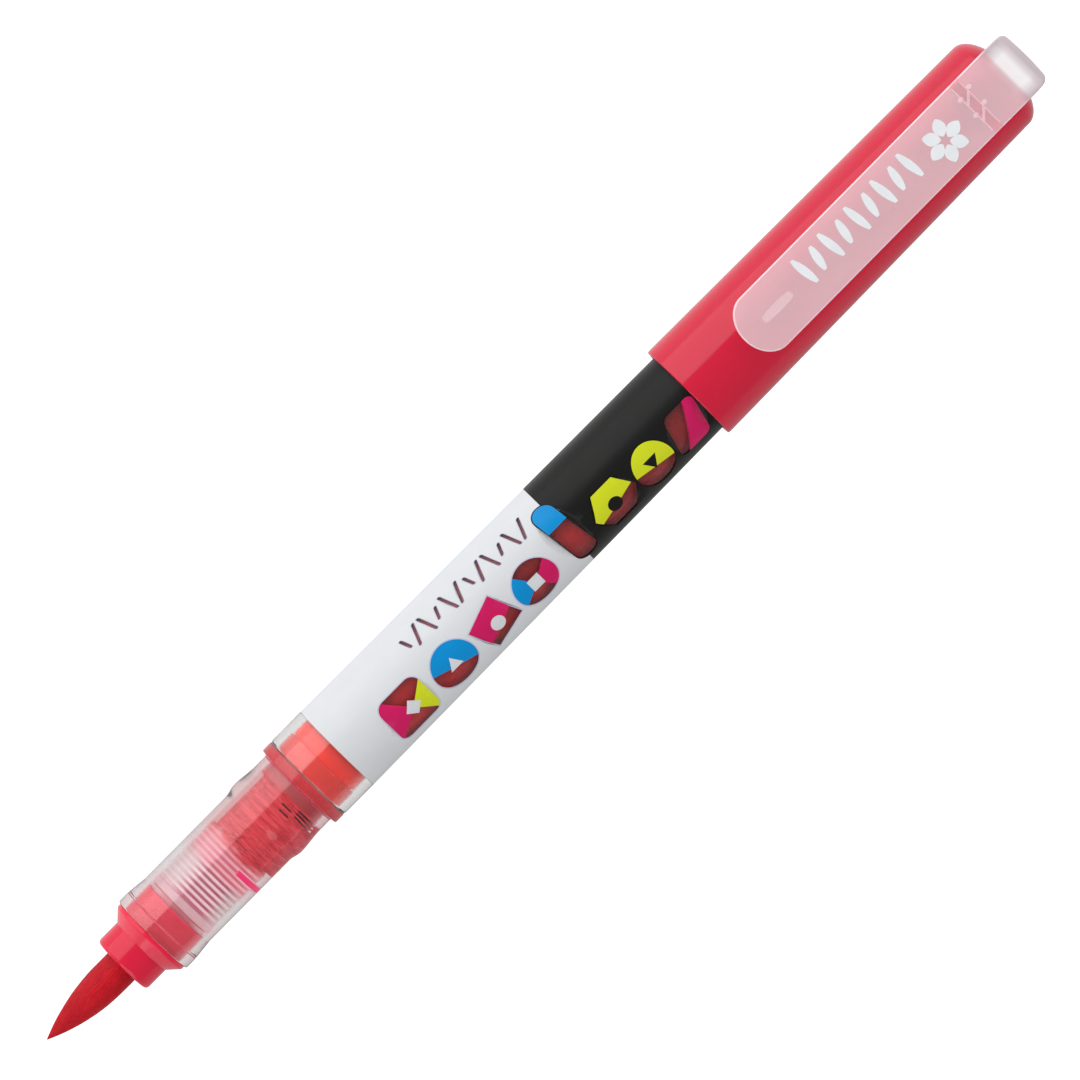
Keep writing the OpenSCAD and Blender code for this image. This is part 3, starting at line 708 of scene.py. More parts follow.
INK_R0, NECK_INK_R, WETTED_R, WETTED_TAPER = 4.8, 4.485, 5.01, 0.5
BORE_SET, TAIL_BORE_LENGTH = 3.0, 5.0
ink_low, ink_high = box_mm("ink_charge")
label_x = box_mm("label_film")[0].x
neck_end = grip_high.x + 0.08
barrel_low, barrel_high = box_mm("barrel")
bore_start, bore_end = barrel_low.x + BORE_SET, barrel_high.x - TAIL_BORE_LENGTH


def wetted_r(x):
    """The ink's radius where it wets the barrel's bore, which narrows towards the tail."""
    return WETTED_R - WETTED_TAPER * (x - bore_start) / (bore_end - bore_start)


ink = turned("ink_column", rounded([
    (ink_low.x, WICK_R + 0.03, 0), (ink_low.x, NECK_INK_R, 0.05), (neck_end, NECK_INK_R, 0),
    (neck_end + 0.05, INK_R0, 0.05), (label_x + 0.3, INK_R0, 0), (label_x + 0.6, wetted_r(label_x), 0),
    (ink_high.x - 1.5, wetted_r(ink_high.x), 0.8), (ink_high.x, 2.6, 0.8), (ink_high.x, 0.0, 0),
    (wick_high.x + 0.1, 0.0, 0), (wick_high.x + 0.1, WICK_R + 0.03, 0)]), 192)
ink_tree, ink_shader, ink_material = new_material("red_ink", Specular_IOR_Level=0.5)
along_ink = place_of(ink_tree)[0]
settled = ramp(ink_tree, cloudy(ink_tree, 300, 240, 240, 3.0), 0.3, 0.7)
neck_ink = fill(ink_tree, settled, paint(212, 48, 60), paint(222, 60, 72))
collar_ink = fill(ink_tree, settled, paint(255, 46, 34), paint(255, 64, 52))
front_ink = fill(ink_tree, settled, paint(196, 24, 30), paint(214, 46, 50))
tail_ink = fill(ink_tree, settled, paint(140, 10, 16), paint(164, 28, 34))
# The collar's ink is painted bright, painted light where light falls through it, and under the film it is painted dark
# and darker towards the tail, painted shade.
flange_end = (gx + FLANGE_END - 0.02) * MM
bright_ink = fill(ink_tree, ramp(ink_tree, along_ink, flange_end - 0.00005, flange_end + 0.00005), neck_ink,
                  collar_ink)
dark_ink = fill(ink_tree, ramp(ink_tree, along_ink, label_x * MM + 0.008, label_x * MM + 0.045), front_ink, tail_ink)
lit = ramp(ink_tree, along_ink, label_x * MM + 0.0002, label_x * MM - 0.0006)
with_group(ink_tree, ink_shader, moulded_group, Colour=fill(ink_tree, lit, dark_ink, bright_ink),
           Shade=paint(180, 30, 40), Mottle=0.15, Roughness=0.25, Scratches=0.0, Grain=0.05)
finished(ink, ink_material)
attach(ink, "pen")
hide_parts("ink_charge")


# --- Barrel ----------------------------------------------------------------------------------
# Clear moulded tube, straight at the collar and then tapered, with a shallow seat for the film.
# The grip section is glued into its front and the tail plug into its end.

BARREL_R, TAIL_R, BORE_R, TAIL_BORE_R, FILM_SEAT = 6.0, 5.5, 5.0, 4.5, 0.12
label_low, label_high = box_mm("label_film")
bx = barrel_low.x


def barrel_r_at(x):
    """The barrel's outside radius, film and all."""
    return BARREL_R - (BARREL_R - TAIL_R) * max(0.0, x - label_low.x) / (barrel_high.x - label_low.x)


barrel_material = clear_plastic("clear_barrel", 0.03, ((0.975, 0.975, 0.97, 1),))
barrel = turned("barrel_tube", rounded([
    (bx, BORE_R, 0.08), (bx, BARREL_R - 0.2, 0.05), (bx + 0.28, BARREL_R, 0.08), (label_low.x - 0.02, BARREL_R, 0.08),
    (label_low.x - 0.02, BARREL_R - FILM_SEAT, 0), (label_high.x + 0.02, barrel_r_at(label_high.x) - FILM_SEAT, 0),
    (label_high.x + 0.02, barrel_r_at(label_high.x), 0.06), (barrel_high.x, TAIL_R, 0.12),
    (barrel_high.x, TAIL_BORE_R, 0.1), (bore_end, TAIL_BORE_R, 0), (bore_start, BORE_R, 0)], 6), 224)
finished(barrel, barrel_material, 40)
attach(barrel, "pen")
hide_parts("barrel")

# A thin dark grey bead where the flange meets the barrel, painted shade for the dark line of the gap there.
gap_shade_material = moulded("painted_gap_shade", paint(104, 98, 98), paint(150, 140, 140), mottle=0.8, rough=0.4,
                          scratches=0.0, grain=0.3, specular=0.4)
gap_shade = turned("gap_shade_line", rounded([(bx - 0.015, BARREL_R - 0.4, 0), (bx - 0.015, BARREL_R - 0.13, 0.03),
                                        (bx + 0.13, BARREL_R - 0.07, 0.03), (bx + 0.13, BARREL_R - 0.4, 0)], 3), 192,
                lambda x, r, a: r + 0.012 * noise.noise(Vector((math.cos(a) * 5, math.sin(a) * 5, x))))
finished(gap_shade, gap_shade_material)
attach(gap_shade, "pen")


# --- Tail plug -------------------------------------------------------------------------------
# Black moulded plug pressed and glued into the barrel's tail, with a thin hollow spigot.
# Its end face is slightly dished, with a small gate mark.

PLUG_BORE_R, PLUG_FIT_R = 3.7, TAIL_BORE_R - 0.02
plug_low, plug_high = box_mm("tail_plug")
black_material = moulded("black_plastic", paint(34, 34, 35), paint(46, 46, 47), mottle=0.4, rough=0.36,
                         scratches=0.15, grain=0.35)
seat_x = barrel_high.x + 0.02
tail_plug = turned("tail_closure", rounded([
    (seat_x, 0.0, 0), (seat_x, PLUG_BORE_R, 0.1), (plug_low.x, PLUG_BORE_R, 0.1), (plug_low.x, PLUG_FIT_R, 0.2),
    (seat_x, PLUG_FIT_R, 0), (seat_x, TAIL_R, 0.08), (plug_high.x, TAIL_R, 0.35), (plug_high.x, 4.2, 0.1),
    (plug_high.x - 0.25, 3.9, 0.1), (plug_high.x - 0.3, 0.9, 0.05), (plug_high.x - 0.15, 0.75, 0.05),
    (plug_high.x - 0.15, 0.0, 0)]), 160, closed=False)
finished(tail_plug, black_material)
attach(tail_plug, "pen")
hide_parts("tail_plug")


# --- Printed film ----------------------------------------------------------------------------
# A satin film wrapped round the barrel, white in front and black behind, with a seam underneath.
# It is printed with plain blocks of colour and left clear in places, where the ink shows through.

FILM_T = 0.09
BLACK_START = 36.5
SEAM = math.pi - 0.004
ROLL_R = 6.0
GRID_X, GRID_A = 1.6, 120
OUTLINE = 0.16
ROW_T = -2.85
STROKE_SET, STROKE_PITCH, STROKES = 14.2, 1.72, 12
SPOT_SET, SPOT_PITCH, SPOT_T = 12, 4.4, 12.4

film_white, film_black, film_magenta, film_blue, film_lime, film_soft, film_jet = range(7)
CLEAR = -1
film_materials = [moulded(film_name, colour, shade, mottle=0.5, rough=0.34, scratches=0.06, grain=0.12,
                          specular=0.22) for film_name, colour, shade in (
    ("film_white", paint(222, 224, 227), paint(216, 219, 224)), ("film_black", paint(22, 21, 20), paint(16, 16, 16)),
    ("film_magenta", paint(212, 24, 98), paint(200, 20, 90)), ("film_blue", paint(0, 146, 216), paint(0, 134, 204)),
    ("film_lime", paint(216, 226, 36), paint(204, 216, 30)),
    ("film_edge_grey", paint(204, 202, 222), paint(196, 194, 216)),
    ("film_edge_black", paint(12, 12, 12), paint(9, 9, 9)))]


# Flat outlines of (station, distance round the roll), in millimetres, each grown by the same margin.
def disc(x, t, across, tall, grow=0.0, count=64):
    """A round or oval outline."""
    return [(x + (across / 2 + grow) * math.cos(2 * math.pi * k / count),
             t + (tall / 2 + grow) * math.sin(2 * math.pi * k / count)) for k in range(count)]


def block(x, t, across, tall, grow=0.0, round_to=0.5, lean=0.0):
    """A block with rounded corners, leaning along the pen."""
    half_x, half_t, c = across / 2 + grow, tall / 2 + grow, round_to + grow
    points = []
    for sx, st, a0 in ((1, 1, 0), (-1, 1, 90), (-1, -1, 180), (1, -1, 270)):
        for k in range(7):
            a = math.radians(a0 + 15 * k)
            px, pt = sx * (half_x - c) + c * math.cos(a), st * (half_t - c) + c * math.sin(a)
            points.append((x + px + lean * pt, t + pt))
    return points


def many_sided(x, t, across, tall, sides, turn=0.0, grow=0.0):
    """An outline with that many equal sides."""
    return [(x + (across / 2 + grow * 1.3) * math.cos(turn + 2 * math.pi * k / sides),
             t + (tall / 2 + grow * 1.3) * math.sin(turn + 2 * math.pi * k / sides)) for k in range(sides)]


def part_of(points, middle, angle):
    """The part of a convex outline on one side of a line through middle, to the left of its direction."""
    d = Vector((math.cos(angle), math.sin(angle)))
    middle = Vector(middle)
    kept = []
    for i, p in enumerate(points):
        p, q = Vector(p), Vector(points[(i + 1) % len(points)])
        side_p = d.cross(p - middle)
        side_q = d.cross(q - middle)
        if side_p >= 0:
            kept.append(tuple(p))
        if side_p * side_q < 0:
            kept.append(tuple(p.lerp(q, side_p / (side_p - side_q))))
    return kept


label_x0, label_x1 = label_low.x, label_high.x
black_x = label_x0 + BLACK_START
quarter = math.pi / 2
regions = []


def split(angle, *colours):
    """Blocks of colour on the two sides of a line at that angle, or in the four corners of a cross. Each
    is a colour and the directions of the lines that cut it."""
    if len(colours) == 2:
        return [(colour, (angle + math.pi * k,)) for k, colour in enumerate(colours)]
    return [(colour, (angle + quarter * k, angle + quarter * (k + 1))) for k, colour in enumerate(colours)]


def motif(outline_at, middle, blocks, edge):
    """A shape with its thin edge, cut into its blocks through middle."""
    regions.append((outline_at(OUTLINE), edge))
    shape = outline_at(0.0)
    for colour_index, cuts in blocks:
        piece_outline = shape
        for angle in cuts:
            piece_outline = part_of(piece_outline, middle, angle)
        regions.append((piece_outline, colour_index))


row = label_x0 + 9.3
motif(lambda g: block(row, ROW_T, 6.2, 6.3, g, 1.3), (row + 0.4, ROW_T),
      split(math.radians(38), film_magenta, CLEAR, film_lime, CLEAR), film_soft)
row = label_x0 + 16.6
motif(lambda g: disc(row, ROW_T, 6.1, 6.1, g), (row, ROW_T - 0.3),
      split(math.radians(-20), film_blue, CLEAR), film_soft)
row = label_x0 + 23.3
motif(lambda g: many_sided(row, ROW_T, 7.0, 7.0, 4, quarter / 2 + 0.35, g), (row + 0.5, ROW_T - 0.6),
      split(math.radians(25), film_magenta, CLEAR), film_soft)
row = label_x0 + 29.9
motif(lambda g: disc(row, ROW_T, 6.0, 6.0, g), (row, ROW_T),
      split(0.6, film_blue, CLEAR, film_magenta, CLEAR), film_soft)
row = label_x0 + 36.4
motif(lambda g: block(row, ROW_T + 1.6, 2.9, 9.6, g, 1.4, -0.12), (row, ROW_T + 3.0),
      split(0.0, film_blue, CLEAR), film_jet)
row = label_x0 + 42.9
motif(lambda g: many_sided(row, ROW_T - 0.2, 6.6, 6.6, 6, 0.0, g), (row, ROW_T - 0.4),
      split(math.radians(15), film_lime, CLEAR), film_jet)
row = label_x0 + 49.2
motif(lambda g: disc(row, ROW_T - 0.3, 5.4, 6.4, g), (row, ROW_T - 0.6),
      split(math.radians(-12), film_lime, CLEAR), film_jet)
row = label_x0 + 55.0
motif(lambda g: block(row, ROW_T, 4.6, 6.0, g, 0.9, 0.2), (row, ROW_T + 0.2),
      split(math.radians(62), CLEAR, film_magenta), film_jet)
for hole_x, hole_t, outline_of, hole_colour in (
        (label_x0 + 9.7, ROW_T, lambda x, t: many_sided(x, t, 2.3, 2.3, 4), film_white),
        (label_x0 + 16.6, ROW_T + 0.1, lambda x, t: many_sided(x, t, 2.2, 2.2, 3, quarter), film_white),
        (label_x0 + 23.5, ROW_T - 0.2, lambda x, t: disc(x, t, 1.9, 1.9, count=40), film_white),
        (label_x0 + 29.9, ROW_T, lambda x, t: many_sided(x, t, 2.4, 2.4, 4, quarter / 2), film_white),
        (label_x0 + 42.8, ROW_T - 0.2, lambda x, t: disc(x, t, 1.9, 1.9, count=40), film_black),
        (label_x0 + 49.2, ROW_T + 0.3, lambda x, t: many_sided(x, t, 2.3, 2.3, 3, -quarter), film_black)):
    regions.append((outline_of(hole_x, hole_t), hole_colour))
for k in range(STROKES):
    stroke_x = label_x0 + STROKE_SET + STROKE_PITCH * k
    stroke_lean = 0.34 if k % 2 else -0.34
    stroke_tall = 2.9 if k % 3 else 1.7
    motif(lambda g: block(stroke_x, 3.25, 0.44, stroke_tall, g * 0.6, 0.2, stroke_lean), (stroke_x, 0.0),
          ((CLEAR, (0.0,)),), film_soft)
for k, colour_index in enumerate((film_magenta, film_blue, film_lime, film_magenta, film_blue)):
    regions.append((disc(label_x0 + SPOT_SET + SPOT_PITCH * k, SPOT_T, 2.2, 2.2), colour_index))


def inside(point, outline):
    """True if a flat point is inside an outline."""
    x, t = point
    odd = False
    for i, (x0, t0) in enumerate(outline):
        x1, t1 = outline[i - 1]
        if (t0 > t) != (t1 > t) and x < x0 + (x1 - x0) * (t - t0) / (t1 - t0):
            odd = not odd
    return odd


def film_faces():
    """The film laid flat and cut into small triangles along every print edge, each with its colour."""
    half = SEAM * ROLL_R
    columns = round((label_x1 - label_x0) / GRID_X)
    stations = [label_x0 + (label_x1 - label_x0) * i / columns for i in range(columns + 1)]
    points, edges = [], []

    def take(outline, closed=True):
        """Adds an outline's points and edges to the cuts."""
        start, count = len(points), len(outline)
        points.extend(Vector(p) for p in outline)
        edges.extend((start + i, start + (i + 1) % count) for i in range(count if closed else count - 1))

    rungs = [-half + 2 * half * k / GRID_A for k in range(1, GRID_A)]
    take([(x, -half) for x in stations] + [(label_x1, t) for t in rungs]
         + [(x, half) for x in stations[::-1]] + [(label_x0, t) for t in rungs[::-1]])
    take([(black_x, -half + 2 * half * k / GRID_A) for k in range(GRID_A + 1)], closed=False)
    for outline, _ in regions:
        take(outline)
    for i, x in enumerate(stations[1:-1]):
        shift = 0.5 if i % 2 else 0.0
        points.extend(Vector((x + 0.017, -half + 2 * half * (k + shift) / GRID_A)) for k in range(1, GRID_A))
    places, _, faces = geometry.delaunay_2d_cdt(points, edges, [], 0, 1e-5)[:3]
    bounds = [(min(p[0] for p in o), max(p[0] for p in o), min(p[1] for p in o), max(p[1] for p in o))
              for o, _ in regions]
    kept = []
    for face in faces:
        x, t = (sum(places[i][k] for i in face) / len(face) for k in (0, 1))
        colour_index = film_white if x < black_x else film_black
        for (outline, region_colour), (x0, x1, t0, t1) in zip(regions, bounds):
            if x0 < x < x1 and t0 < t < t1 and inside((x, t), outline):
                colour_index = region_colour
        if colour_index != CLEAR:
            kept.append((face, colour_index))
    return places, kept


film_places, film_triangles = film_faces()
film_mesh = bpy.data.meshes.new("wrapped_film")


def wrapped(p):
    """A point of the flat film where it lies on the barrel."""
    a = p[1] / ROLL_R
    r = barrel_r_at(p[0])
    return p[0] * MM, r * MM * math.sin(a), r * MM * math.cos(a)


film_mesh.from_pydata([wrapped(p) for p in film_places], [], [face for face, _ in film_triangles])
for material in film_materials:
    film_mesh.materials.append(material)
film_mesh.polygons.foreach_set("material_index", [colour_index for _, colour_index in film_triangles])
work = bmesh.new()
work.from_mesh(film_mesh)
bmesh.ops.delete(work, geom=[v for v in work.verts if not v.link_faces], context="VERTS")
bmesh.ops.recalc_face_normals(work, faces=work.faces)
if sum(f.normal.z * f.calc_center_median().z for f in work.faces) < 0:
    bmesh.ops.reverse_faces(work, faces=work.faces)
work.to_mesh(film_mesh)
work.free()
label_film = new_object("wrapped_film", film_mesh)
thick = label_film.modifiers.new("film_thickness", "SOLIDIFY")
thick.thickness = FILM_T * MM
thick.offset = -1


def applied(piece):
    """Turns a piece's modifiers into plain mesh."""
    bpy.context.view_layer.update()
    made = bpy.data.meshes.new_from_object(piece.evaluated_get(bpy.context.evaluated_depsgraph_get()))
    piece.modifiers.clear()
    old, piece.data = piece.data, made
    bpy.data.meshes.remove(old)
    return piece


applied(label_film)
label_film.data.shade_smooth()
label_film.data.set_sharp_from_angle(angle=math.radians(40))
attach(label_film, "pen")
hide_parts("label_film")


# --- Inner cap -------------------------------------------------------------------------------
# Natural moulded liner that seals on the nose. Its two rings press into the outer cap, which
# turns round them.

liner_low, liner_high = box_mm("inner_cap")
LINER_BORE_R, LINER_R, LINER_RING_R = 4.0, 4.6, liner_high.z
lx, lend = liner_low.x, liner_high.x
inner_cap = turned("cap_liner", rounded([
    (lx, LINER_BORE_R + 0.3, 0.1), (lx, LINER_RING_R, 0.18), (lx + 1.0, LINER_RING_R, 0.12), (lx + 1.0, LINER_R, 0.2),
    (lend - 0.95, LINER_R, 0.2), (lend - 0.95, LINER_RING_R, 0.12), (lend, LINER_RING_R, 0.15), (lend, 0.0, 0),
    (lend - 0.75, 0.0, 0), (lend - 0.75, LINER_BORE_R - 1, 0.3), (lend - 1.75, LINER_BORE_R, 0.3),
    (lx + 0.3, LINER_BORE_R, 0.1)]), 160)
finished(inner_cap, natural_material)
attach(inner_cap, "liner")
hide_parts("inner_cap")


# --- Outer cap -------------------------------------------------------------------------------
# Polished red cap with a domed end, posted on the barrel's tail. A cross rib under the clip carries
# the clip's root, and slots through the rib and the end take its hooks and tongue.

CAP_MOUTH_R, CAP_MOUTH_BORE, CAP_BORE, CAP_SLOPE = 6.65, 6.05, 5.56, 0.008663
CAP_DOME, CAP_END_T = 3.0, 1.3
SADDLE_SET, SADDLE_HALF_X, SADDLE_HALF_Y, SADDLE_ROOT = 6.4, 0.65, 3.39, 3.2
TONGUE_Y, TONGUE_Z, HOOK_Y, HOOK_HALF = 2.3, 0.9, 1.25, 0.45
CLIP_T = 1.3
cap_low, cap_high = box_mm("outer_cap")
cx, cend = cap_low.x, cap_high.x
dome_x = cend - CAP_DOME
dome_r = CAP_MOUTH_R - CAP_SLOPE * (dome_x - cx)
cap_corners = [(cx, CAP_MOUTH_BORE + 0.1, 0.08), (cx, CAP_MOUTH_R - 0.03, 0.2), (cx + 0.5, CAP_MOUTH_R, 0.3)]
cap_corners += [(dome_x + CAP_DOME * math.sin(a), dome_r * math.cos(a) ** 0.92, 0)
                for a in (math.radians(90 * k / 22) for k in range(22))]
cap_corners += [(cend, 0.0, 0), (cend - CAP_END_T, 0.0, 0), (cend - CAP_END_T, CAP_BORE - 1.5, 0.3),
                (lend, CAP_BORE, 0.3), (lx - 0.5, CAP_BORE, 0.1), (cx + 0.25, CAP_MOUTH_BORE, 0.1)]
outer_cap = turned("red_cap", rounded(cap_corners, 6), 256)


def slab(name, low, high, edge=0.0):
    """A block between two corners in millimetres, with its edges eased."""
    work = bmesh.new()
    bmesh.ops.create_cube(work, size=1.0)
    low, high = Vector(low), Vector(high)
    for v in work.verts:
        v.co = Vector(((low[k] + high[k]) / 2 + v.co[k] * (high[k] - low[k])) * MM for k in range(3))
    if edge:
        bmesh.ops.bevel(work, geom=list(work.edges), offset=edge * MM, segments=3, profile=0.5, affect="EDGES")
    return off_the_bench(name, work)


def joined(piece, tool, operation):
    """Adds a tool's solid to a piece or cuts it away, and takes the tool off the bench."""
    change = piece.modifiers.new("bench", "BOOLEAN")
    change.operation = operation
    change.solver = "EXACT"
    change.object = tool
    applied(piece)
    bpy.data.objects.remove(tool)


clip_low_z = box_mm("clip_arm")[1].z - CLIP_T
saddle_x = cend - SADDLE_SET
saddle = slab("saddle", (saddle_x - SADDLE_HALF_X, -SADDLE_HALF_Y, SADDLE_ROOT),
              (saddle_x + SADDLE_HALF_X, SADDLE_HALF_Y, clip_low_z - 0.02), 0.12)
seat_outline = [(saddle_x - 2, 0.0), (saddle_x - 2, 6.0), (saddle_x + 2, 6.0), (saddle_x + 2, 0.0)]
joined(saddle, turned("saddle_seat", seat_outline, 128, closed=False), "DIFFERENCE")
joined(outer_cap, saddle, "UNION")
joined(outer_cap, slab("tongue_slot", (cend - CAP_END_T - 1, -TONGUE_Y - 0.05, -TONGUE_Z - 0.05),
                       (cend + 1, TONGUE_Y + 0.05, TONGUE_Z + 0.05)), "DIFFERENCE")
for hook_y in (-HOOK_Y, HOOK_Y):
    joined(outer_cap, slab("hook_slot", (saddle_x - 0.3, hook_y - HOOK_HALF - 0.05, 5.0),
                           (saddle_x + 0.3, hook_y + HOOK_HALF + 0.05, 9.0)), "DIFFERENCE")
outer_cap.data.materials.clear()
finished(outer_cap, polished_red("cap_red", paint(215, 20, 58), paint(207, 16, 52)))
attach(outer_cap, "cap")
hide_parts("outer_cap")


# --- Clip ------------------------------------------------------------------------------------
# Springy frosted clip, one moulding: a plate with a round free end that flexes at the rib, a bend over the cap's end
# and a leg snapped into it. Light scatters in it, so the red below turns pink; that pink is painted into its colour as
# painted light, with a painted highlight over the bend.

CLIP_HALF, CLIP_NOSE, CLIP_BEND, PLATE_EDGE, UNDER_EDGE, THINNEST = 3.85, 3.1, 2.2, 0.17, 0.12, 0.16
LEG_T, LEG_CORNER, LEG_CROWN, LEG_TAPER, LEG_ROUND = 1.1, 0.75, 0.2, 0.45, 0.9
PRINT_T = 0.02
arm_low, arm_high = box_mm("clip_arm")
head_low, head_high = box_mm("clip_head")
clip_top = arm_high.z - PRINT_T
clip_x0, clip_x1 = arm_low.x, head_high.x
bend_x, bend_z = clip_x1 - CLIP_BEND, clip_top - CLIP_BEND
leg_low_z = head_low.z
plate_len = bend_x - clip_x0
bend_len = CLIP_BEND * math.pi / 2
leg_len = bend_z - leg_low_z
total_len = plate_len + bend_len + leg_len


def clip_point(s, y, depth):
    """A point of the clip, at length s from its free end, y across and depth below its outside."""
    if s <= plate_len:
        return clip_x0 + s, y, clip_top - depth
    if s <= plate_len + bend_len:
        a = (s - plate_len) / CLIP_BEND
        r = CLIP_BEND - depth
        return bend_x + r * math.sin(a), y, bend_z + r * math.cos(a)
    return clip_x1 - depth, y, bend_z - (s - plate_len - bend_len)


def edge_drop(d, size):
    """How far a rounded edge of that size falls at distance d from the outline."""
    return 0.0 if d >= size else size - math.sqrt(max(0.0, size * size - (size - d) ** 2))


clip_stations = [CLIP_NOSE * (k / 22) ** 1.7 for k in range(23)]
clip_stations += [CLIP_NOSE + (plate_len - CLIP_NOSE) * k / 110 for k in range(1, 111)]
clip_stations += [plate_len + bend_len * k / 20 for k in range(1, 21)]
clip_stations += [plate_len + bend_len + leg_len * (1 - (1 - k / 24) ** 1.8) for k in range(1, 25)]
shares = [math.sin(math.pi / 2 * k / 24) for k in range(-24, 25)]
work = bmesh.new()
clip_rings, clip_edges = [], []
for s in clip_stations:
    turn = smooth((s - plate_len) / bend_len)
    thick_here = CLIP_T + (LEG_T - CLIP_T) * turn
    edge = PLATE_EDGE + (LEG_CORNER - PLATE_EDGE) * turn
    half = CLIP_HALF
    if s < CLIP_NOSE:
        half = CLIP_HALF * math.sqrt(max(1e-6, 1 - (1 - s / CLIP_NOSE) ** 2))
    left = total_len - s
    if s > plate_len:
        half -= LEG_TAPER * (s - plate_len) / (bend_len + leg_len)
    if left < LEG_ROUND:
        half += math.sqrt(max(0.0, LEG_ROUND ** 2 - (LEG_ROUND - left) ** 2)) - LEG_ROUND
    ring_top, ring_low, ring_edge = [], [], []
    for f in shares:
        y = half * f
        d = half - abs(y)
        if s < CLIP_NOSE:
            u, v = (s - CLIP_NOSE) / CLIP_NOSE, y / CLIP_HALF
            slope = math.hypot(2 * u / CLIP_NOSE, 2 * v / CLIP_HALF)
            d = max(0.0, 1 - u * u - v * v) / max(slope, 0.05)
        d = min(d, left + 0.001) if left < LEG_ROUND else d
        crown = LEG_CROWN * turn * (y / CLIP_HALF) ** 2
        drop = min(edge_drop(d, edge) + crown, thick_here - THINNEST)
        ring_top.append(work.verts.new(Vector(clip_point(s, y, drop)) * MM))
        ring_low.append(work.verts.new(Vector(clip_point(s, y, thick_here - edge_drop(d, UNDER_EDGE))) * MM))
        ring_edge.append(d < PLATE_EDGE + 0.02 and s <= plate_len)
    clip_rings.append(ring_top + ring_low[::-1])
    clip_edges.append(ring_edge + ring_edge[::-1])
for near, far, near_edge, far_edge in zip(clip_rings, clip_rings[1:], clip_edges, clip_edges[1:]):
    for k in range(len(near)):
        n = (k + 1) % len(near)
        face = work.faces.new((near[k], near[n], far[n], far[k]))
        face.material_index = int(near_edge[k] and near_edge[n] and far_edge[k] and far_edge[n])
for ring in (clip_rings[0], clip_rings[-1]):
    half_count = len(ring) // 2
    for k in range(half_count - 1):
        work.faces.new((ring[k], ring[k + 1], ring[-2 - k], ring[-1 - k]))
bmesh.ops.remove_doubles(work, verts=work.verts, dist=1e-7)
bmesh.ops.recalc_face_normals(work, faces=work.faces)
clip = off_the_bench("clip", work)


def frosted(name, over_red, over_air, veil, end_veil, inner_veil):
    """Frosted plastic, as a veil of that share over what lies behind it. The veil is thinner on faces seen from inside
    and for the lamps, and paler and denser past the end of the red cap below it. Its colour is painted light: pink
    over the red cap, pinker over the saddle, and a painted white highlight past the cap's end that fades towards the
    sides and the leg."""
    tree, shader, material = new_material(name, Specular_IOR_Level=0.5)
    along_pen, across_pen = place_of(tree)[:2]
    past_cap = ramp(tree, along_pen, (cend - 2.4) * MM, (cend - 1.2) * MM)
    off_saddle = sums(tree, "ABSOLUTE", sums(tree, "SUBTRACT", along_pen, saddle_x * MM))
    # Painted light: pinker over the saddle, then a painted white highlight past the cap's end that fades to the plain
    # frosted colour at the sides and towards the leg.
    body = fill(tree, ramp(tree, off_saddle, 0.00075, 0.00060, 0.0, 0.7), over_red, paint(255, 196, 206))
    at_edge = ramp(tree, sums(tree, "ABSOLUTE", across_pen), 0.0020, 0.0036)
    body = fill(tree, past_cap, body, fill(tree, at_edge, paint(255, 250, 252), over_air))
    body = fill(tree, ramp(tree, along_pen, (clip_x1 - 2.0) * MM, (clip_x1 - 0.9) * MM), body, over_air)
    with_group(tree, shader, moulded_group, Colour=body, Shade=body, Mottle=0.2, Roughness=0.3, Scratches=0.08,
               Grain=0.3)
    clouds = cloudy(tree, 150, 260, 260, 3.0)
    edge_on = add(tree, "LayerWeight", {"Blend": 0.3}).outputs["Facing"]
    share = ramp(tree, clouds, 0.3, 0.7, veil - 0.02, veil + 0.02)
    share = sums(tree, "ADD", share, sums(tree, "MULTIPLY", edge_on, 0.3))
    share = sums(tree, "MAXIMUM", share, sums(tree, "MULTIPLY", past_cap, end_veil))
    inside_face = add(tree, "NewGeometry").outputs["Backfacing"]
    share = sums(tree, "MULTIPLY", share, ramp(tree, inside_face, 0, 1, 1.0, inner_veil))
    to_lamp = add(tree, "LightPath").outputs["Is Shadow Ray"]
    share = sums(tree, "MULTIPLY", share, ramp(tree, to_lamp, 0, 1, 1.0, 0.45))
    tree.links.new(sums(tree, "MINIMUM", share, 1.0), shader.inputs["Alpha"])
    return material


clip.data.materials.append(
    frosted("frosted_plastic", paint(246, 220, 228), paint(200, 184, 190), veil=0.60, end_veil=0.95, inner_veil=0.12))
# The plate's bevelled rim is paler and denser, partly the frosted plastic seen through its thickness and partly a
# painted highlight.
clip.data.materials.append(
    frosted("frosted_edge", paint(255, 232, 236), paint(206, 192, 197), veil=0.85, end_veil=0.95, inner_veil=0.3))

# The tongue with its barb, through the cap's end, and two hooks through the saddle.
wall_in = cend - CAP_END_T
clip_parts = [((wall_in - 0.35, -TONGUE_Y, -TONGUE_Z), (clip_x1 - LEG_T / 2, TONGUE_Y, TONGUE_Z)),
              ((wall_in - 0.45, -TONGUE_Y, -TONGUE_Z - 0.35), (wall_in - 0.05, TONGUE_Y, TONGUE_Z + 0.35))]
for hook_y in (-HOOK_Y, HOOK_Y):
    near_y, far_y = hook_y - HOOK_HALF, hook_y + HOOK_HALF
    clip_parts += [((saddle_x - 0.25, near_y, 4.75), (saddle_x + 0.25, far_y, clip_low_z + 0.2)),
                   ((saddle_x - 0.2, near_y, 4.75), (saddle_x + 0.55, far_y, 5.2))]
for low, high in clip_parts:
    joined(clip, slab("clip_part", low, high), "UNION")
clip.data.shade_smooth()
clip.data.set_sharp_from_angle(angle=math.radians(50))
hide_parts("clip_arm", "clip_head")
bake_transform(clip)


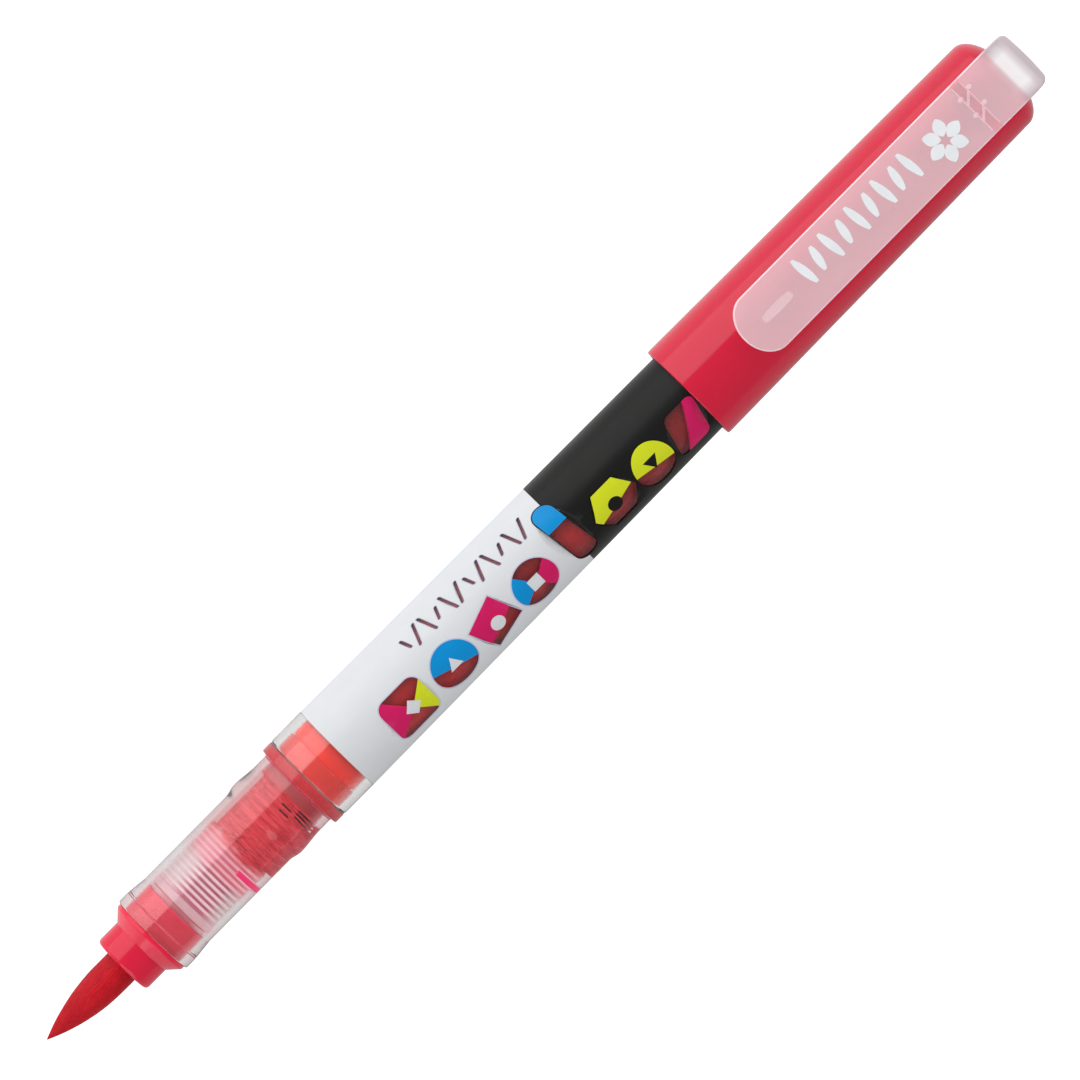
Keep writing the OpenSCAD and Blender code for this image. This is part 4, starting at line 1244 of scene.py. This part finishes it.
# --- Clip's rib and root marks ----------------------------------------------------------------
# Parts of the clip's moulding that show through it as paler marks: the rib under its free end that
# presses on a pocket, two ridges over the saddle and the slanted roots of its hooks.

RIB_SET, RIB_L, RIB_W, RIB_STEPS = 3.2, 4.5, 1.15, 24
ROOT_X, ROOT_Y, RIDGE_HALF = 0.56, 3.35, 0.07
mark_material = frosted("frosted_marks", paint(255, 214, 218), paint(246, 240, 242), veil=0.72, end_veil=0.8,
                        inner_veil=0.5)


def flat_shape(name, outline, z0, z1, bevel=0.0):
    """A thin piece with a flat outline of (x, y), from z0 up to z1, in millimetres."""
    work = bmesh.new()
    face = work.faces.new([work.verts.new((x * MM, y * MM, z0 * MM)) for x, y in outline])
    made = bmesh.ops.extrude_face_region(work, geom=[face])
    for v in made["geom"]:
        if isinstance(v, bmesh.types.BMVert):
            v.co.z = z1 * MM
    if bevel:
        rims = [e for e in work.edges if all(abs(v.co.z - z1 * MM) < 1e-9 for v in e.verts)]
        bmesh.ops.bevel(work, geom=rims, offset=bevel * MM, segments=2, profile=0.5, affect="EDGES")
    bmesh.ops.recalc_face_normals(work, faces=work.faces)
    bmesh.ops.triangulate(work, faces=[f for f in work.faces if len(f.verts) > 4])
    return off_the_bench(name, work)


rib_x = arm_low.x + RIB_SET
rib_depth = clip_low_z - (CAP_MOUTH_R - CAP_SLOPE * (rib_x - cx)) - 0.08
work = bmesh.new()
rib_rings = []
for k in range(RIB_STEPS + 1):
    share = k / RIB_STEPS
    x = rib_x + RIB_L * share
    low_z = clip_low_z + 0.15 - (rib_depth + 0.15) * math.sin(math.pi * share) ** 0.8
    w = RIB_W / 2 * (0.62 + 0.38 * math.sqrt(max(0.0, math.sin(math.pi * share))))
    rib_rings.append([work.verts.new(Vector(corner) * MM) for corner in (
        (x, -w, clip_low_z + 0.2), (x, -w * 0.96, low_z + 0.12), (x, -w * 0.6, low_z), (x, w * 0.6, low_z),
        (x, w * 0.96, low_z + 0.12), (x, w, clip_low_z + 0.2))])
for near, far in zip(rib_rings, rib_rings[1:]):
    for k in range(6):
        work.faces.new((near[k], near[(k + 1) % 6], far[(k + 1) % 6], far[k]))
work.faces.new(rib_rings[0])
work.faces.new(rib_rings[-1])
bmesh.ops.recalc_face_normals(work, faces=work.faces)
clip_rib = off_the_bench("clip_rib", work)
finished(clip_rib, mark_material)
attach(clip_rib, "clip")

root_z = (clip_low_z + 0.1, clip_low_z + 0.45)
root_parts = []
for ridge_x in (saddle_x - 0.62, saddle_x + 0.62):
    near_x, far_x = ridge_x - RIDGE_HALF, ridge_x + RIDGE_HALF
    root_parts.append(flat_shape("ridge", [(near_x, -ROOT_Y), (far_x, -ROOT_Y), (far_x, ROOT_Y), (near_x, ROOT_Y)],
                                 *root_z, 0.03))
near_x, far_x = saddle_x - ROOT_X, saddle_x + ROOT_X
for hook_y in (-HOOK_Y, HOOK_Y):
    root_parts.append(flat_shape("hook_root", [(near_x, hook_y - 0.78), (far_x, hook_y + 0.32), (far_x, hook_y + 0.78),
                                               (near_x, hook_y - 0.32)], *root_z, 0.04))
    for end_x, end_y in ((far_x + 0.42, hook_y + 0.9), (near_x - 0.2, hook_y + 0.5)):
        root_parts.append(flat_shape("hook_end", disc(end_x, end_y, 0.75, 0.55, count=20), *root_z, 0.1))
clip_root = gathered("clip_root_marks", root_parts)
finished(clip_root, mark_material)
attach(clip_root, "cap")


# --- Print on the clip -------------------------------------------------------------------------
# A plain white ornament, pad printed on the clip's plate: a flower of six petals and a run of
# tapering brush marks. The ink stands a few hundredths of a millimetre proud.

PETALS, PETAL_SET, PETAL_Y, PETAL_START, PETAL_LENGTH, PETAL_HALF = 6, 32.6, -0.25, 0.5, 2.25, 0.80
MARKS, MARK_SET, MARK_PITCH, MARK_Y, MARK_HALF = 9, 27.7, 2.15, 0.72, 0.52
print_material = moulded("white_print", paint(240, 243, 246), paint(226, 230, 235), mottle=0.5, rough=0.45,
                         scratches=0.08, grain=0.4)
print_z = (arm_high.z - PRINT_T - 0.004, arm_high.z)
shares = [i / 14 for i in range(15)]
print_parts = []
petal_x = arm_low.x + PETAL_SET
for k in range(PETALS):
    a = 2 * math.pi / PETALS * k + 0.2
    leaf = [(PETAL_START + PETAL_LENGTH * t, PETAL_HALF * math.sin(math.pi * t) ** 0.75) for t in shares]
    leaf += [(u, -v) for u, v in leaf[-2:0:-1]]
    print_parts.append(flat_shape("petal", [(petal_x + u * math.cos(a) - v * math.sin(a),
                                             PETAL_Y + u * math.sin(a) + v * math.cos(a)) for u, v in leaf], *print_z))
for k in range(MARKS):
    mark_x = arm_low.x + MARK_SET - MARK_PITCH * k
    tall, lean = (3.2, 0.5) if k % 2 else (3.9, -0.5)
    mark = [(t, MARK_HALF * math.sin(math.pi * (0.06 + 0.88 * t)) ** 0.6) for t in shares]
    mark += [(t, -w) for t, w in mark[::-1]]
    print_parts.append(flat_shape("mark", [(mark_x + w + lean * (t - 0.5), MARK_Y + tall * (t - 0.5))
                                           for t, w in mark], *print_z))
clip_print = gathered("clip_print", print_parts)
finished(clip_print, print_material)
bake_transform(clip_print)
